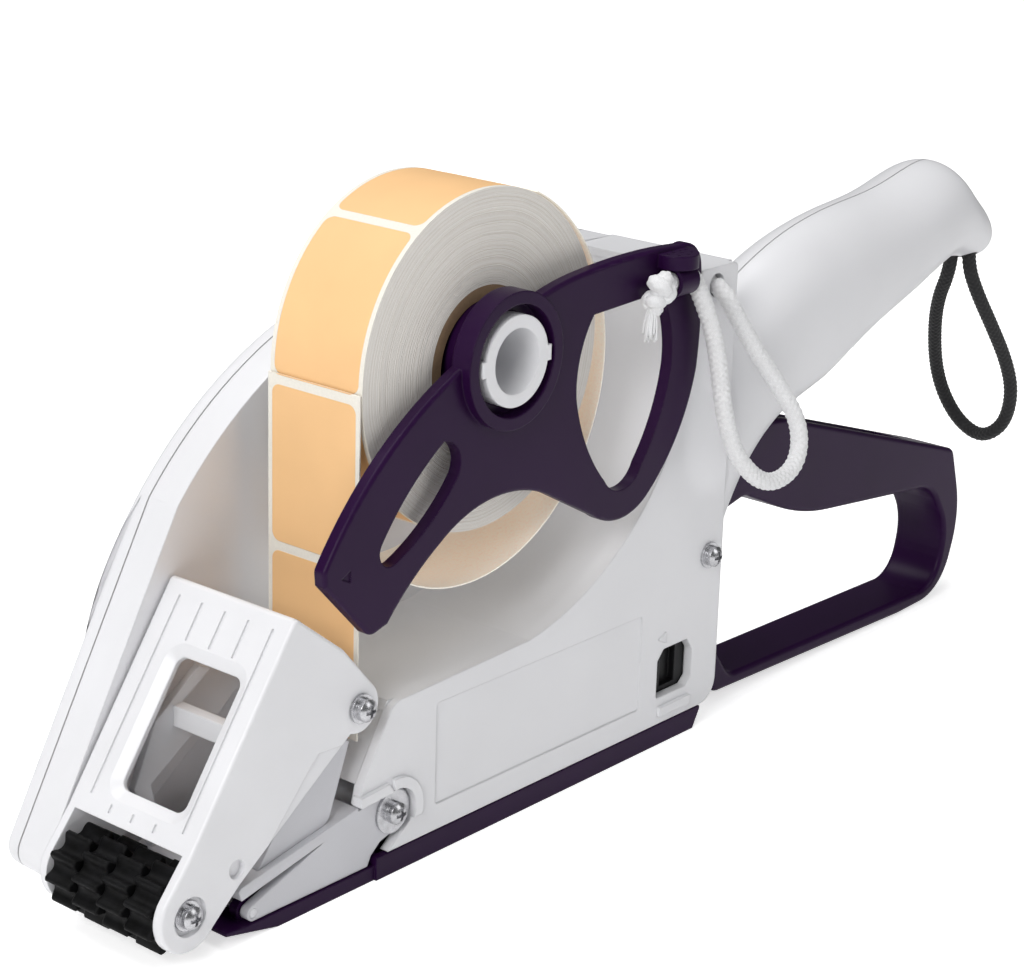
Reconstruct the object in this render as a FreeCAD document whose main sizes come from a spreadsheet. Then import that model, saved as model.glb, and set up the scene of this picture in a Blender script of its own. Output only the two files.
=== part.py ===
import FreeCAD, Part
import math
import os

import Sketcher
from FreeCAD import Placement, Rotation, Vector

# Hand-held label dispenser.  Millimetres.
# X runs rearward to the handle, Y runs from the open side to the gear side, Z is up.
# The origin lies on the table, under the spool, in the middle of the label web.

DIMS = {
    # label roll and web
    "web_width": 24.3,
    "web_thickness": 0.3,
    "roll_radius": 34.5,
    "core_radius": 15.3,
    "core_bore": 12.7,
    "wrap_slack": 5.5,
    # spool
    "spool_height": 101.6,
    "spool_radius": 9.25,
    "spool_bore": 6.6,
    "spool_reach": 20.7,
    "spool_flange": 16.0,
    "sleeve_radius": 10.9,
    "ring_radius": 13.9,
    "ring_bore": 11.3,
    # body
    "near_gap": 0.95,
    "far_gap": 6.75,
    "near_wall": 2.2,
    "box_wall": 2.0,
    "box_depth": 8.1,
    "cover_depth": 4.5,
    "cover_edge": 2.4,
    "nose_reach": 88.6,
    "nose_height": 10.4,
    "shoulder_reach": 52.7,
    "shoulder_height": 75.0,
    "crown_height": 109.5,
    "crown_start": 20.0,
    "rear_reach": 79.7,
    "rear_height": 107.5,
    "rear_corner": 5.5,
    "wall_base": 5.2,
    "bay_radius": 64.0,
    "bay_centre": 3.0,
    "bay_drop": 0.1,
    "bay_floor": 2.0,
    "sill_rise": 0.8,
    "sill_reach": 28.0,
    "toe_reach": 35.5,
    # front cover and application roller
    "hinge_reach": 37.5,
    "hinge_height": 38.8,
    "hinge_rod": 2.0,
    "lobe_radius": 5.4,
    "roller_reach": 82.0,
    "roller_height": 11.0,
    "roller_radius": 8.4,
    "arm_radius": 7.3,
    "near_plate": 2.1,
    "far_plate": 1.8,
    "face_plate": 2.2,
    "face_top_reach": 54.8,
    "face_top_height": 62.0,
    "face_foot_reach": 81.9,
    "face_foot_height": 22.6,
    "window_start": 13.9,
    "window_length": 27.2,
    "window_low": 8.3,
    "window_high": 8.9,
    "window_round": 2.0,
    "window_bevel": 2.4,
    "axle_radius": 2.0,
    # peel unit
    "wedge_screw_reach": 27.2,
    "wedge_screw_height": 13.2,
    "post_radius": 3.4,
    "peel_reach": 65.1,
    "peel_height": 5.0,
    "peel_pin": 1.0,
    "arm_wall": 2.0,
    # bottom cover
    "tray_front": 32.4,
    "tray_rear": 72.0,
    "tray_height": 4.9,
    "tray_wall": 1.6,
    "apron_front": 72.6,
    "apron_height": 3.1,
    # lever and drive
    "pivot_x": 70.0,
    "pivot_z": 62.0,
    "shaft_radius": 2.5,
    "bush_radius": 4.0,
    "hub_radius": 6.5,
    "lever_centre": -3.5,
    "lever_width": 14.6,
    "lever_wall": 2.0,
    "gear_module": 1.0,
    "sector_teeth": 88.0,
    "pinion_teeth": 22.0,
    "gear_width": 4.0,
    "feed_height": 28.0,
    "feed_radius": 8.5,
    "pinch_radius": 6.0,
    # handle
    "handle_centre": -2.0,
    "handle_half_width": 13.0,
    "handle_wall": 2.2,
    # adjusting knob
    "slot_height": 9.5,
    "slot_front": -8.0,
    "slot_length": 64.0,
    "slot_width": 4.4,
    "stud_radius": 2.0,
    "knob_radius": 8.0,
    "knob_depth": 7.5,
    # fasteners
    "screw_radius": 1.3,
    "head_radius": 2.3,
    "head_height": 1.9,
    "washer": 0.6,
    # cords
    "tether_radius": 2.0,
    "wrist_radius": 1.8,
    # clearances
    "run_gap": 0.05,
    "side_gap": 0.3,
    "slide_gap": 0.4,
}


class Size:
    """A length that knows its value and the sheet expression that gives it."""

    def __init__(self, text, value):
        self.text = text
        self.value = float(value)

    def __add__(self, other):
        other = size(other)
        return Size("(%s + %s)" % (self.text, other.text), self.value + other.value)

    def __sub__(self, other):
        other = size(other)
        return Size("(%s - %s)" % (self.text, other.text), self.value - other.value)

    def __mul__(self, other):
        other = size(other)
        return Size("(%s * %s)" % (self.text, other.text), self.value * other.value)

    def __truediv__(self, other):
        other = size(other)
        return Size("(%s / %s)" % (self.text, other.text), self.value / other.value)

    def __neg__(self):
        return Size("(0 - %s)" % self.text, -self.value)

    __radd__ = __add__
    __rmul__ = __mul__

    def __rsub__(self, other):
        return size(other) - self

    def root(self):
        return Size("sqrt(%s)" % self.text, math.sqrt(self.value))


def size(amount):
    """Any number as a Size."""
    if isinstance(amount, Size):
        return amount
    return Size("(%s)" % repr(round(float(amount), 6)), amount)


def make_sheet(doc):
    """Put the driving dimensions in a spreadsheet, one named cell each."""
    sheet = doc.addObject("Spreadsheet::Sheet", "Dims")
    for row, (alias, value) in enumerate(DIMS.items(), 1):
        sheet.set("A%d" % row, alias)
        sheet.set("B%d" % row, str(value))
        sheet.setAlias("B%d" % row, alias)
    return sheet


class Names:
    """The driving dimensions as attributes."""

    def __init__(self):
        for alias, value in DIMS.items():
            setattr(self, alias, Size("Dims." + alias, value))


doc = FreeCAD.newDocument("LabelDispenser")
make_sheet(doc)
doc.recompute()
D = Names()
PIECES = []

ALONG_X = Rotation(Vector(0, 1, 0), 90)
ALONG_Y = Rotation(Vector(1, 0, 0), -90)
UPRIGHT = Rotation()


# ---------------------------------------------------------------- building blocks

def bind(obj, prop, amount):
    """Tie a property to the sheet."""
    obj.setExpression(prop, size(amount).text)


def place(obj, x, y, z, rotation=UPRIGHT):
    obj.Placement = Placement(Vector(size(x).value, size(y).value, size(z).value), rotation)
    for axis, amount in zip("xyz", (x, y, z)):
        bind(obj, "Placement.Base." + axis, amount)
    return obj


def rod(x, z, y_low, y_high, radius):
    """A cylinder along Y."""
    obj = doc.addObject("Part::Cylinder", "Rod")
    bind(obj, "Radius", radius)
    bind(obj, "Height", y_high - y_low)
    return place(obj, x, y_low, z, ALONG_Y)


def post(x, y, z_low, z_high, radius):
    """A cylinder along Z."""
    obj = doc.addObject("Part::Cylinder", "Post")
    bind(obj, "Radius", radius)
    bind(obj, "Height", z_high - z_low)
    return place(obj, x, y, z_low)


def bar(y, z, x_low, x_high, radius):
    """A cylinder along X."""
    obj = doc.addObject("Part::Cylinder", "Bar")
    bind(obj, "Radius", radius)
    bind(obj, "Height", x_high - x_low)
    return place(obj, x_low, y, z, ALONG_X)


def ball(x, y, z, radius):
    obj = doc.addObject("Part::Sphere", "Ball")
    bind(obj, "Radius", radius)
    return place(obj, x, y, z)


def block(x_low, x_high, y_low, y_high, z_low, z_high):
    obj = doc.addObject("Part::Box", "Block")
    bind(obj, "Length", x_high - x_low)
    bind(obj, "Width", y_high - y_low)
    bind(obj, "Height", z_high - z_low)
    return place(obj, x_low, y_low, z_low)


def fuse(*shapes):
    obj = doc.addObject("Part::MultiFuse", "Fuse")
    obj.Shapes = list(shapes)
    obj.Refine = True
    return obj


def cut(base, *tools):
    obj = doc.addObject("Part::Cut", "Cut")
    obj.Base = base
    obj.Tool = tools[0] if len(tools) == 1 else fuse(*tools)
    obj.Refine = True
    return obj


def common(first, second):
    obj = doc.addObject("Part::Common", "Common")
    obj.Base = first
    obj.Tool = second
    obj.Refine = True
    return obj


def group(*solids):
    """Separate solids that share one node."""
    obj = doc.addObject("Part::Compound", "Group")
    obj.Links = list(solids)
    return obj


def tube(x, z, y_low, y_high, outer, inner):
    """A hollow cylinder along Y."""
    past = 1
    return cut(rod(x, z, y_low, y_high, outer), rod(x, z, y_low - past, y_high + past, inner))


def piece(label, obj):
    """Name a finished sub-part."""
    obj.Label = label
    PIECES.append(obj)
    return obj


class Corner:
    """One corner of an outline.

    arc: signed radius of the edge that follows (positive turns left, negative right).
    round: radius that eases the corner itself.
    """

    def __init__(self, across, up, arc=None, round=None):
        self.across = size(across)
        self.up = size(up)
        self.arc = None if arc is None else size(arc)
        self.round = None if round is None else size(round)

    def point(self):
        return Vector(self.across.value, self.up.value, 0)


def arc_between(start, end, radius):
    """A circle arc from start to end, anticlockwise when the radius is positive."""
    chord = end - start
    half = chord.Length / 2
    reach = math.sqrt(max(radius * radius - half * half, 0.0))
    left = Vector(-chord.y, chord.x, 0).normalize()
    centre = (start + end) * 0.5 + left * (reach if radius > 0 else -reach)
    first, last = (start, end) if radius > 0 else (end, start)
    low = math.atan2(first.y - centre.y, first.x - centre.x)
    high = math.atan2(last.y - centre.y, last.x - centre.x)
    if high < low:
        high += 2 * math.pi
    circle = Part.Circle(centre, Vector(0, 0, 1), abs(radius))
    return Part.ArcOfCircle(circle, low, high)


def draw(sketch, corners):
    """Draw a closed outline and tie each corner and arc to the sheet."""
    ends = []
    for here, there in zip(corners, corners[1:] + corners[:1]):
        if here.arc is None:
            edge = Part.LineSegment(here.point(), there.point())
        else:
            edge = arc_between(here.point(), there.point(), here.arc.value)
        sketch.addGeometry(edge, False)
        ends.append((2, 1) if here.arc is not None and here.arc.value < 0 else (1, 2))
    count = len(corners)
    for index, corner in enumerate(corners):
        before = (index - 1) % count
        first, last = ends[index][0], ends[before][1]
        sketch.addConstraint(Sketcher.Constraint("Coincident", before, last, index, first))
        rows = (("DistanceX", corner.across), ("DistanceY", corner.up))
        for kind, amount in rows:
            row = sketch.addConstraint(Sketcher.Constraint(kind, -1, 1, index, first, amount.value))
            sketch.setExpression("Constraints[%d]" % row, amount.text)
        if corner.arc is not None:
            radius = corner.arc if corner.arc.value > 0 else -corner.arc
            row = sketch.addConstraint(Sketcher.Constraint("Radius", index, radius.value))
            sketch.setExpression("Constraints[%d]" % row, radius.text)


def tangents(corners):
    """Direction of travel at the start and at the end of each edge."""
    found = []
    for here, there in zip(corners, corners[1:] + corners[:1]):
        chord = there.point() - here.point()
        bend = 0.0
        if here.arc is not None:
            bend = math.asin(chord.Length / 2 / here.arc.value)
        heading = math.atan2(chord.y, chord.x)
        found.append((heading - bend, heading + bend))
    return found


def eased(corners):
    """The outline with each rounded corner replaced by a tangent arc."""
    headings = tangents(corners)
    found = []
    for index, corner in enumerate(corners):
        if corner.round is None:
            found.append(corner)
            continue
        before, after = headings[index - 1][1], headings[index][0]
        turn = (after - before + math.pi) % (2 * math.pi) - math.pi
        trim = corner.round * abs(math.tan(turn / 2))
        bend = corner.round if turn > 0 else -corner.round
        found.append(Corner(corner.across - trim * math.cos(before),
                            corner.up - trim * math.sin(before), bend))
        found.append(Corner(corner.across + trim * math.cos(after),
                            corner.up + trim * math.sin(after), corner.arc))
    return found


PLANES = {"XZ": ("XZ_Plane", -1), "XY": ("XY_Plane", 1), "YZ": ("YZ_Plane", 1)}


def plate(corners, low, high, plane="XZ", taper=0):
    """A body padded from an outline between two planes, with its corners rounded."""
    low, high = size(low), size(high)
    role, sign = PLANES[plane]
    body = doc.addObject("PartDesign::Body", "Body")
    sketch = body.newObject("Sketcher::SketchObject", "Outline")
    support = [item for item in body.Origin.OriginFeatures if item.Role == role][0]
    sketch.AttachmentSupport = [(support, "")]
    sketch.MapMode = "FlatFace"
    bind(sketch, "AttachmentOffset.Base.z", low if sign > 0 else -high)
    draw(sketch, eased(corners))
    pad = body.newObject("PartDesign::Pad", "Pad")
    pad.Profile = sketch
    pad.TaperAngle = taper
    bind(pad, "Length", high - low)
    return body


def soften(body, base, edges, radius):
    """Round edges of a body."""
    fillet = body.newObject("PartDesign::Fillet", "Round")
    fillet.Base = (base, edges)
    bind(fillet, "Radius", radius)
    body.Tip = fillet
    doc.recompute()
    return fillet


def rim_edges(shape, y):
    """Names of the edges that lie in a plane across Y."""
    names = []
    for number, edge in enumerate(shape.Edges, 1):
        box = edge.BoundBox
        if abs(box.YMin - y) < 1e-4 and abs(box.YMax - y) < 1e-4:
            names.append("Edge%d" % number)
    return names


def soften_rim(body, y, radius):
    """Round every edge of a body in a plane across Y."""
    doc.recompute()
    tip = body.Tip
    return soften(body, tip, rim_edges(tip.Shape, size(y).value), radius)


def shrunk(corners, wall):
    """An outline that runs inside an anticlockwise one at a wall's distance."""
    wall = size(wall)
    headings = tangents(corners)
    inner = []
    for index, corner in enumerate(corners):
        before, after = headings[index - 1][1], headings[index][0]
        share = 1 + math.cos(after - before)
        move_x = (-math.sin(before) - math.sin(after)) / share
        move_z = (math.cos(before) + math.cos(after)) / share
        arc = None if corner.arc is None else corner.arc - wall
        rounding = None
        if corner.round is not None and corner.round.value > wall.value + 0.5:
            rounding = corner.round - wall
        inner.append(Corner(corner.across + wall * move_x, corner.up + wall * move_z, arc, rounding))
    return inner


def polar(x, z, radius, degrees):
    """A point at an angle on a circle, in the XZ plane."""
    angle = math.radians(degrees)
    return x + size(radius) * math.cos(angle), z + size(radius) * math.sin(angle)


# ---------------------------------------------------------------- shared places

near_in = -(D.web_width / 2 + D.near_gap)
near_out = near_in - D.near_wall
far_in = D.web_width / 2 + D.far_gap
far_out = far_in + D.box_wall
seam = far_in + D.box_depth
side_out = seam + D.cover_depth
side_in = side_out - D.box_wall
spool_z = D.spool_height
roll_z = spool_z - (D.core_bore - D.sleeve_radius - 0.1)
bay_z = spool_z - D.bay_drop
sill_z = bay_z - D.bay_radius + D.sill_rise
rear_in = D.rear_reach - D.box_wall
hinge_x, hinge_z = -D.hinge_reach, D.hinge_height
roller_x, roller_z = -D.roller_reach, D.roller_height
wedge_x, wedge_z = -D.wedge_screw_reach, D.wedge_screw_height
peel_x, peel_z = -D.peel_reach, D.peel_height
pivot_x, pivot_z = D.pivot_x, D.pivot_z
gear_span = D.gear_module * (D.sector_teeth + D.pinion_teeth) / 2
feed_z = D.feed_height
feed_x = pivot_x - (gear_span * gear_span - (pivot_z - feed_z) * (pivot_z - feed_z)).root()
gear_low = far_out + 0.5
gear_high = gear_low + D.gear_width
pinch_z = feed_z - D.feed_radius - D.side_gap - D.pinch_radius
cover_far = far_in - 0.6
arm_near = near_in - 1.2
arm_far = arm_near + D.arm_wall
mate_far = D.web_width / 2 + 0.2


# ---------------------------------------------------------------- body

def side_outline():
    """Silhouette of the gear housing."""
    return [
        Corner(-D.nose_reach + 12.1, 0),
        Corner(D.rear_reach, 0, round=D.rear_corner),
        Corner(D.rear_reach, D.rear_height, round=1.5),
        Corner(D.crown_start, D.crown_height, arc=94),
        Corner(-D.shoulder_reach, D.shoulder_height),
        Corner(-D.nose_reach, D.nose_height, round=4.5),
    ]


def bay_edge(radius, sill):
    """Where a bay circle meets a sill line: the point on the circle."""
    drop = bay_z - sill
    return D.bay_centre + (size(radius) * radius - drop * drop).root()


def near_wall():
    """The low side wall on the open side, cut by the bay's arc."""
    top = D.rear_height
    column = D.bay_centre + (D.bay_radius * D.bay_radius - (top - bay_z) * (top - bay_z)).root()
    sill_x = bay_edge(D.bay_radius, sill_z)
    wall = plate([
        Corner(-D.toe_reach, D.wall_base),
        Corner(D.rear_reach, D.wall_base, round=D.rear_corner),
        Corner(D.rear_reach, top, round=1.5),
        Corner(column, top, arc=-D.bay_radius),
        Corner(sill_x, sill_z),
        Corner(-D.sill_reach, sill_z - 1.4, round=4.0),
        Corner(-D.toe_reach - 1.2, 21.5),
        Corner(-D.toe_reach - 2.1, 17.7, round=0.8),
        Corner(-D.toe_reach, 16.4),
    ], near_out, near_in)
    return wall


def bay_floor():
    """The curved floor and back of the roll's bay."""
    top = D.rear_height
    inner, outer = D.bay_radius, D.bay_radius + D.bay_floor
    rise = (top - bay_z) * (top - bay_z)
    return plate([
        Corner(D.bay_centre + (inner * inner - rise).root(), top, arc=-inner),
        Corner(bay_edge(inner, sill_z), sill_z),
        Corner(-D.sill_reach, sill_z - 1.4),
        Corner(-D.sill_reach - 1.0, sill_z - 3.4),
        Corner(bay_edge(outer, sill_z - 2.0), sill_z - 2.0, arc=outer),
        Corner(D.bay_centre + (outer * outer - rise).root(), top),
    ], near_in - 0.5, far_in + 0.5)


def toe_panel():
    """Front wall of the bay, from the sill down behind the toe."""
    return plate([
        Corner(-D.sill_reach + 0.5, sill_z - 1.4),
        Corner(-D.toe_reach - 0.7, 21.5),
        Corner(-D.toe_reach - 0.7 + D.bay_floor, 21.5),
        Corner(-D.sill_reach + 0.5 + D.bay_floor, sill_z - 3.0),
    ], near_in - 0.5, far_in + 0.5)


def keyhole():
    """Opening round the wedge screw where the peel unit's arm enters the near wall."""
    clear = 0.3
    low, high = near_out - 1, near_in + 1
    eye = rod(wedge_x, wedge_z, low, high, 5.0 + clear)
    mouth = plate([
        Corner(-D.toe_reach - 6, D.wall_base - 2),
        Corner(wedge_x - 4.6, D.wall_base - 2),
        Corner(wedge_x + 4.4, wedge_z - 3.2),
        Corner(wedge_x - 2.0, wedge_z + 4.95),
        Corner(-D.toe_reach - 6, wedge_z + 4.3),
    ], low, high)
    return fuse(eye, mouth)


def keyhole_rim():
    """Raised bead over the keyhole."""
    low, high = near_out - 0.9, near_in - 0.5
    outer = rod(wedge_x, wedge_z, low, high, 7.6)
    lip = plate([
        Corner(-D.toe_reach - 2.1, wedge_z + 4.5),
        Corner(wedge_x - 1.0, wedge_z + 4.9),
        Corner(wedge_x - 2.5, wedge_z + 7.2),
        Corner(-D.toe_reach - 2.1, wedge_z + 6.6),
    ], low, high)
    below = block(wedge_x - 20, wedge_x + 20, low - 1, high + 1, wedge_z - 20, wedge_z - 2.5)
    left = block(wedge_x - 20, wedge_x - 1.0, low - 1, high + 1, wedge_z - 20, wedge_z + 20)
    return fuse(cut(outer, below, left), lip)


def latch_window():
    """Opening in the near wall that shows the latch."""
    cx, low, high = size(63.8), size(11.5), size(22.9)
    return plate([
        Corner(cx - 6.3, low, round=0.8),
        Corner(cx + 4.6, low, round=0.8),
        Corner(cx + 6.5, low + 1.8, round=0.8),
        Corner(cx + 6.5, high - 3.0, round=0.8),
        Corner(cx + 4.4, high, round=0.8),
        Corner(cx - 4.2, high, round=0.8),
        Corner(cx - 6.3, high - 2.4, round=0.8),
    ], near_out - 1, near_in + 1)


def panel_recess():
    """Shallow rectangular field on the near wall."""
    return plate([
        Corner(-15.3, 10.8, round=0.8),
        Corner(51.3, 10.8, round=0.8),
        Corner(51.3, 32.9, round=0.8),
        Corner(-15.3, 32.9, round=0.8),
    ], near_out - 1, near_out + 0.35)


def open_arrow(x, z, reach, y_low, y_high):
    """A plain triangle that points forward."""
    return plate([
        Corner(x - reach, z),
        Corner(x + reach * 0.6, z - reach * 0.8),
        Corner(x + reach * 0.6, z + reach * 0.8),
    ], y_low, y_high)


def main_frame():
    """Gear housing, near wall, bay floor and rear wall, moulded in one."""
    housing = cut(plate(side_outline(), far_in, seam),
                  plate(shrunk(side_outline(), D.box_wall), far_out, seam + 1))
    rear = block(rear_in, D.rear_reach, near_in - 0.5, far_in + 0.5, D.wall_base + 3, D.rear_height)
    column = D.bay_centre + D.bay_radius - 0.2
    cap = block(column, D.rear_reach - 0.5, near_in - 0.5, far_in + 0.5,
                D.rear_height - D.box_wall, D.rear_height)
    wedge_post = rod(wedge_x, wedge_z, arm_far, far_in + 0.5, D.post_radius)
    boss_reach = near_in + 1.8
    lever_boss = rod(pivot_x, pivot_z, near_in - 0.5, boss_reach, D.bush_radius + 1.4)
    feed_boss = rod(feed_x, feed_z, near_in - 0.5, boss_reach, D.bush_radius + 1.4)
    ledge = block(58.2, 69.4, near_out - 0.9, near_out + 0.5, 7.2, 9.4)
    arrow = open_arrow(59.0, 25.6, 1.6, near_out - 0.35, near_out + 0.5)
    rails = [block(55.0, 76.0, near_in - 0.5, near_in + 6.2, 24.3, 25.7),
             block(64.5, 76.0, near_in - 0.5, near_in + 6.2, 9.0, 10.3)]
    rear_boss = rod(74.7, 41.2, near_in - 0.5, near_in + 6, 3.2)
    solid = fuse(housing, near_wall(), bay_floor(), toe_panel(), rear, cap, wedge_post, lever_boss, feed_boss,
                 ledge, arrow, rear_boss, keyhole_rim(), *rails)
    bush_hole = D.bush_radius + 0.02
    lever_low = D.lever_centre - D.lever_width / 2 - 0.8
    lever_high = D.lever_centre + D.lever_width / 2 + 0.8
    tools = [
        keyhole(), latch_window(), panel_recess(),
        rod(pivot_x, pivot_z, near_in, boss_reach + 1, bush_hole),
        rod(feed_x, feed_z, near_in, boss_reach + 1, bush_hole),
        rod(pivot_x, pivot_z, far_in - 1, far_out + 1, bush_hole),
        rod(feed_x, feed_z, far_in - 1, far_out + 1, bush_hole),
        rod(hinge_x, hinge_z, far_in - 1, far_out + 1, D.hinge_rod + 0.02),
        rod(wedge_x, wedge_z, arm_far - 1, arm_far + 8, D.screw_radius + 0.02),
        rod(74.7, 41.2, near_out - 1, near_in + 4, D.screw_radius + 0.02),
        rod(TETHER[-1][0], TETHER[-1][2], near_out - 1, near_in + 1, D.tether_radius + 0.6),
        rod(TETHER[-1][0], TETHER[-1][2], near_in, near_in + 8, 3.1),
        block(rear_in - 1, D.rear_reach + 1, lever_low, lever_high, 46, 74),
        rod(size(0), spool_z, far_in - 1, far_out + 1, D.spool_bore),
    ]
    for x, z in spool_screw_spots():
        tools.append(rod(x, z, far_in - 1, far_out + 1, D.screw_radius + 0.02))
    for x, z in handle_joint_spots():
        tools.append(bar(x, z, rear_in - 1, D.rear_reach + 1, D.screw_radius + 0.02))
    frame = cut(solid, *tools)
    pegs = [rod(x, z, far_out - 0.5, seam - D.box_wall, 3.0) for x, z in cover_screw_spots()]
    holes = [rod(x, z, far_out + 1, seam, D.screw_radius + 0.02) for x, z in cover_screw_spots()]
    return piece("main_frame", cut(fuse(frame, *pegs), *holes))


def spool_screw_spots():
    """Three screws on a circle round the spool's bore."""
    return [polar(size(0), spool_z, D.spool_flange - 4.0, angle) for angle in (90, 210, 330)]


def cover_screw_spots():
    """Screws that hold the side cover to the gear housing."""
    return [(size(-74), size(20)), (size(-40), size(75)), (size(70), size(98)), (size(70), size(8))]


def handle_joint_spots():
    """Screws that hold the handle's root to the rear wall, as (y, z)."""
    return [(D.handle_centre - 5.5, size(80.5)), (D.handle_centre + 5.5, size(80.5))]


def side_cover():
    """Outer cap of the gear housing, with the adjusting slot."""
    blank = plate(side_outline(), seam, side_out)
    soften_rim(blank, side_out, D.cover_edge)
    shell = cut(blank, plate(shrunk(side_outline(), D.box_wall), seam - 1, side_in))
    half = D.slot_width / 2
    low, high = side_in - 1, side_out + 1
    slot = fuse(
        block(D.slot_front, D.slot_front + D.slot_length, low, high,
              D.slot_height - half, D.slot_height + half),
        rod(D.slot_front, D.slot_height, low, high, half),
        rod(D.slot_front + D.slot_length, D.slot_height, low, high, half))
    bosses = [rod(x, z, seam - D.box_wall + 0.0, side_in + 0.5, 3.0) for x, z in cover_screw_spots()]
    seats = [rod(x, z, side_out - 2.2, side_out + 1, D.head_radius + 0.4) for x, z in cover_screw_spots()]
    holes = [rod(x, z, seam - 3, side_out + 1, D.screw_radius + 0.15) for x, z in cover_screw_spots()]
    rib = plate([
        Corner(-56, 26.4),
        Corner(44, 26.4, round=12),
        Corner(58, 62),
        Corner(56.6, 62.5),
        Corner(43, 27.8, round=11),
        Corner(-56, 27.8),
    ], side_out - 0.5, side_out + 0.5)
    cover = cut(fuse(shell, rib, *bosses), slot, *(seats + holes))
    return piece("side_cover", cover)


# ---------------------------------------------------------------- fasteners

def screw(x, z, y_seat, length, facing, head=None):
    """A pan-head screw along Y with a cross recess. facing -1 has its head on the near side."""
    head_radius = D.head_radius if head is None else size(head)
    outward = y_seat + D.head_height * facing
    low, high = (outward, y_seat) if facing < 0 else (y_seat, outward)
    dome = ball(x, outward - head_radius * (1.3 * facing), z, head_radius * 1.3)
    top = common(rod(x, z, low, high, head_radius), dome)
    tip = y_seat - size(length) * facing
    start, end = (y_seat - 0.4, tip) if facing < 0 else (tip, y_seat + 0.4)
    body = fuse(top, rod(x, z, start, end, D.screw_radius))
    depth = 1.1
    slot_low, slot_high = (outward - 1, outward + depth) if facing < 0 else (outward - depth, outward + 1)
    arm, half = head_radius * 0.58, 0.36
    return cut(body,
               block(x - arm, x + arm, slot_low, slot_high, z - half, z + half),
               block(x - half, x + half, slot_low, slot_high, z - arm, z + arm))


def washers(x, z, y_face, flat_radius):
    """A flat washer on the face and a spring washer on it."""
    bore = D.screw_radius + 0.12
    flat_top = y_face - D.washer
    spring_top = flat_top - D.washer
    flat = tube(x, z, flat_top, y_face, flat_radius, bore)
    spring = cut(tube(x, z, spring_top, flat_top, D.head_radius, bore),
                 block(x, x + 0.5, spring_top - 1, flat_top + 1, z + 1.2, z + 4))
    return group(flat, spring), spring_top


def fastened(name, x, z, y_face, length, flat_radius):
    """A near-side screw with its two washers."""
    pair, seat = washers(x, z, y_face, flat_radius)
    piece(name + "_washers", pair)
    piece(name + "_screw", screw(x, z, seat, size(length) + 2 * D.washer, -1))


# ---------------------------------------------------------------- spool, roll and web

def spool():
    """White spool tube with its stop flange and two bayonet tabs."""
    tip = -D.spool_reach
    disc_near = D.web_width / 2 + 0.55
    tabs = [block(-D.spool_radius - 1.0, -D.spool_radius + 1.2, tip, tip + 1.5, spool_z - 1.6, spool_z + 1.6),
            block(D.spool_radius - 1.2, D.spool_radius + 1.0, tip, tip + 1.5, spool_z - 1.6, spool_z + 1.6)]
    solid = fuse(rod(size(0), spool_z, tip, far_in, D.spool_radius),
                 rod(size(0), spool_z, disc_near, disc_near + 1.6, D.spool_flange),
                 rod(size(0), spool_z, disc_near, far_in, D.spool_flange - 1.0), *tabs)
    holes = [rod(x, z, far_in - 3.5, far_in + 1, D.screw_radius + 0.02) for x, z in spool_screw_spots()]
    piece("spool_tube", cut(solid, rod(size(0), spool_z, tip - 1, far_in + 1, D.spool_bore), *holes))
    screws = [screw(x, z, far_out, 4.5, 1) for x, z in spool_screw_spots()]
    piece("spool_screws", group(*screws))


def label_roll():
    """Card core and the wound label strip."""
    half = D.web_width / 2
    piece("roll_core", tube(size(0), roll_z, -half, half, D.core_radius, D.core_bore))
    piece("label_roll", tube(size(0), roll_z, -half, half, D.roll_radius, D.core_radius))


def label_web():
    """Strip from the roll down to the peel unit, and the loose turn round the roll."""
    half = D.web_width / 2
    back = -D.roll_radius - 0.3
    piece("label_web", block(back - D.web_thickness, back, -half, half, 30, roll_z))
    lean = 65
    radius = D.roll_radius + 0.3 + D.wrap_slack
    cx, cz = polar(size(0), roll_z, D.wrap_slack, lean + 180)
    outer = radius + D.web_thickness
    end = 217 - 360
    start_in, start_out = polar(cx, cz, radius, lean), polar(cx, cz, outer, lean)
    end_in, end_out = polar(cx, cz, radius, end), polar(cx, cz, outer, end)
    middle_in, middle_out = polar(cx, cz, radius, -40), polar(cx, cz, outer, -40)
    piece("loose_wrap", plate([
        Corner(*start_out),
        Corner(*start_in, arc=-radius),
        Corner(*middle_in, arc=-radius),
        Corner(*end_in),
        Corner(*end_out, arc=outer),
        Corner(*middle_out, arc=outer),
    ], -half, half))


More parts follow.
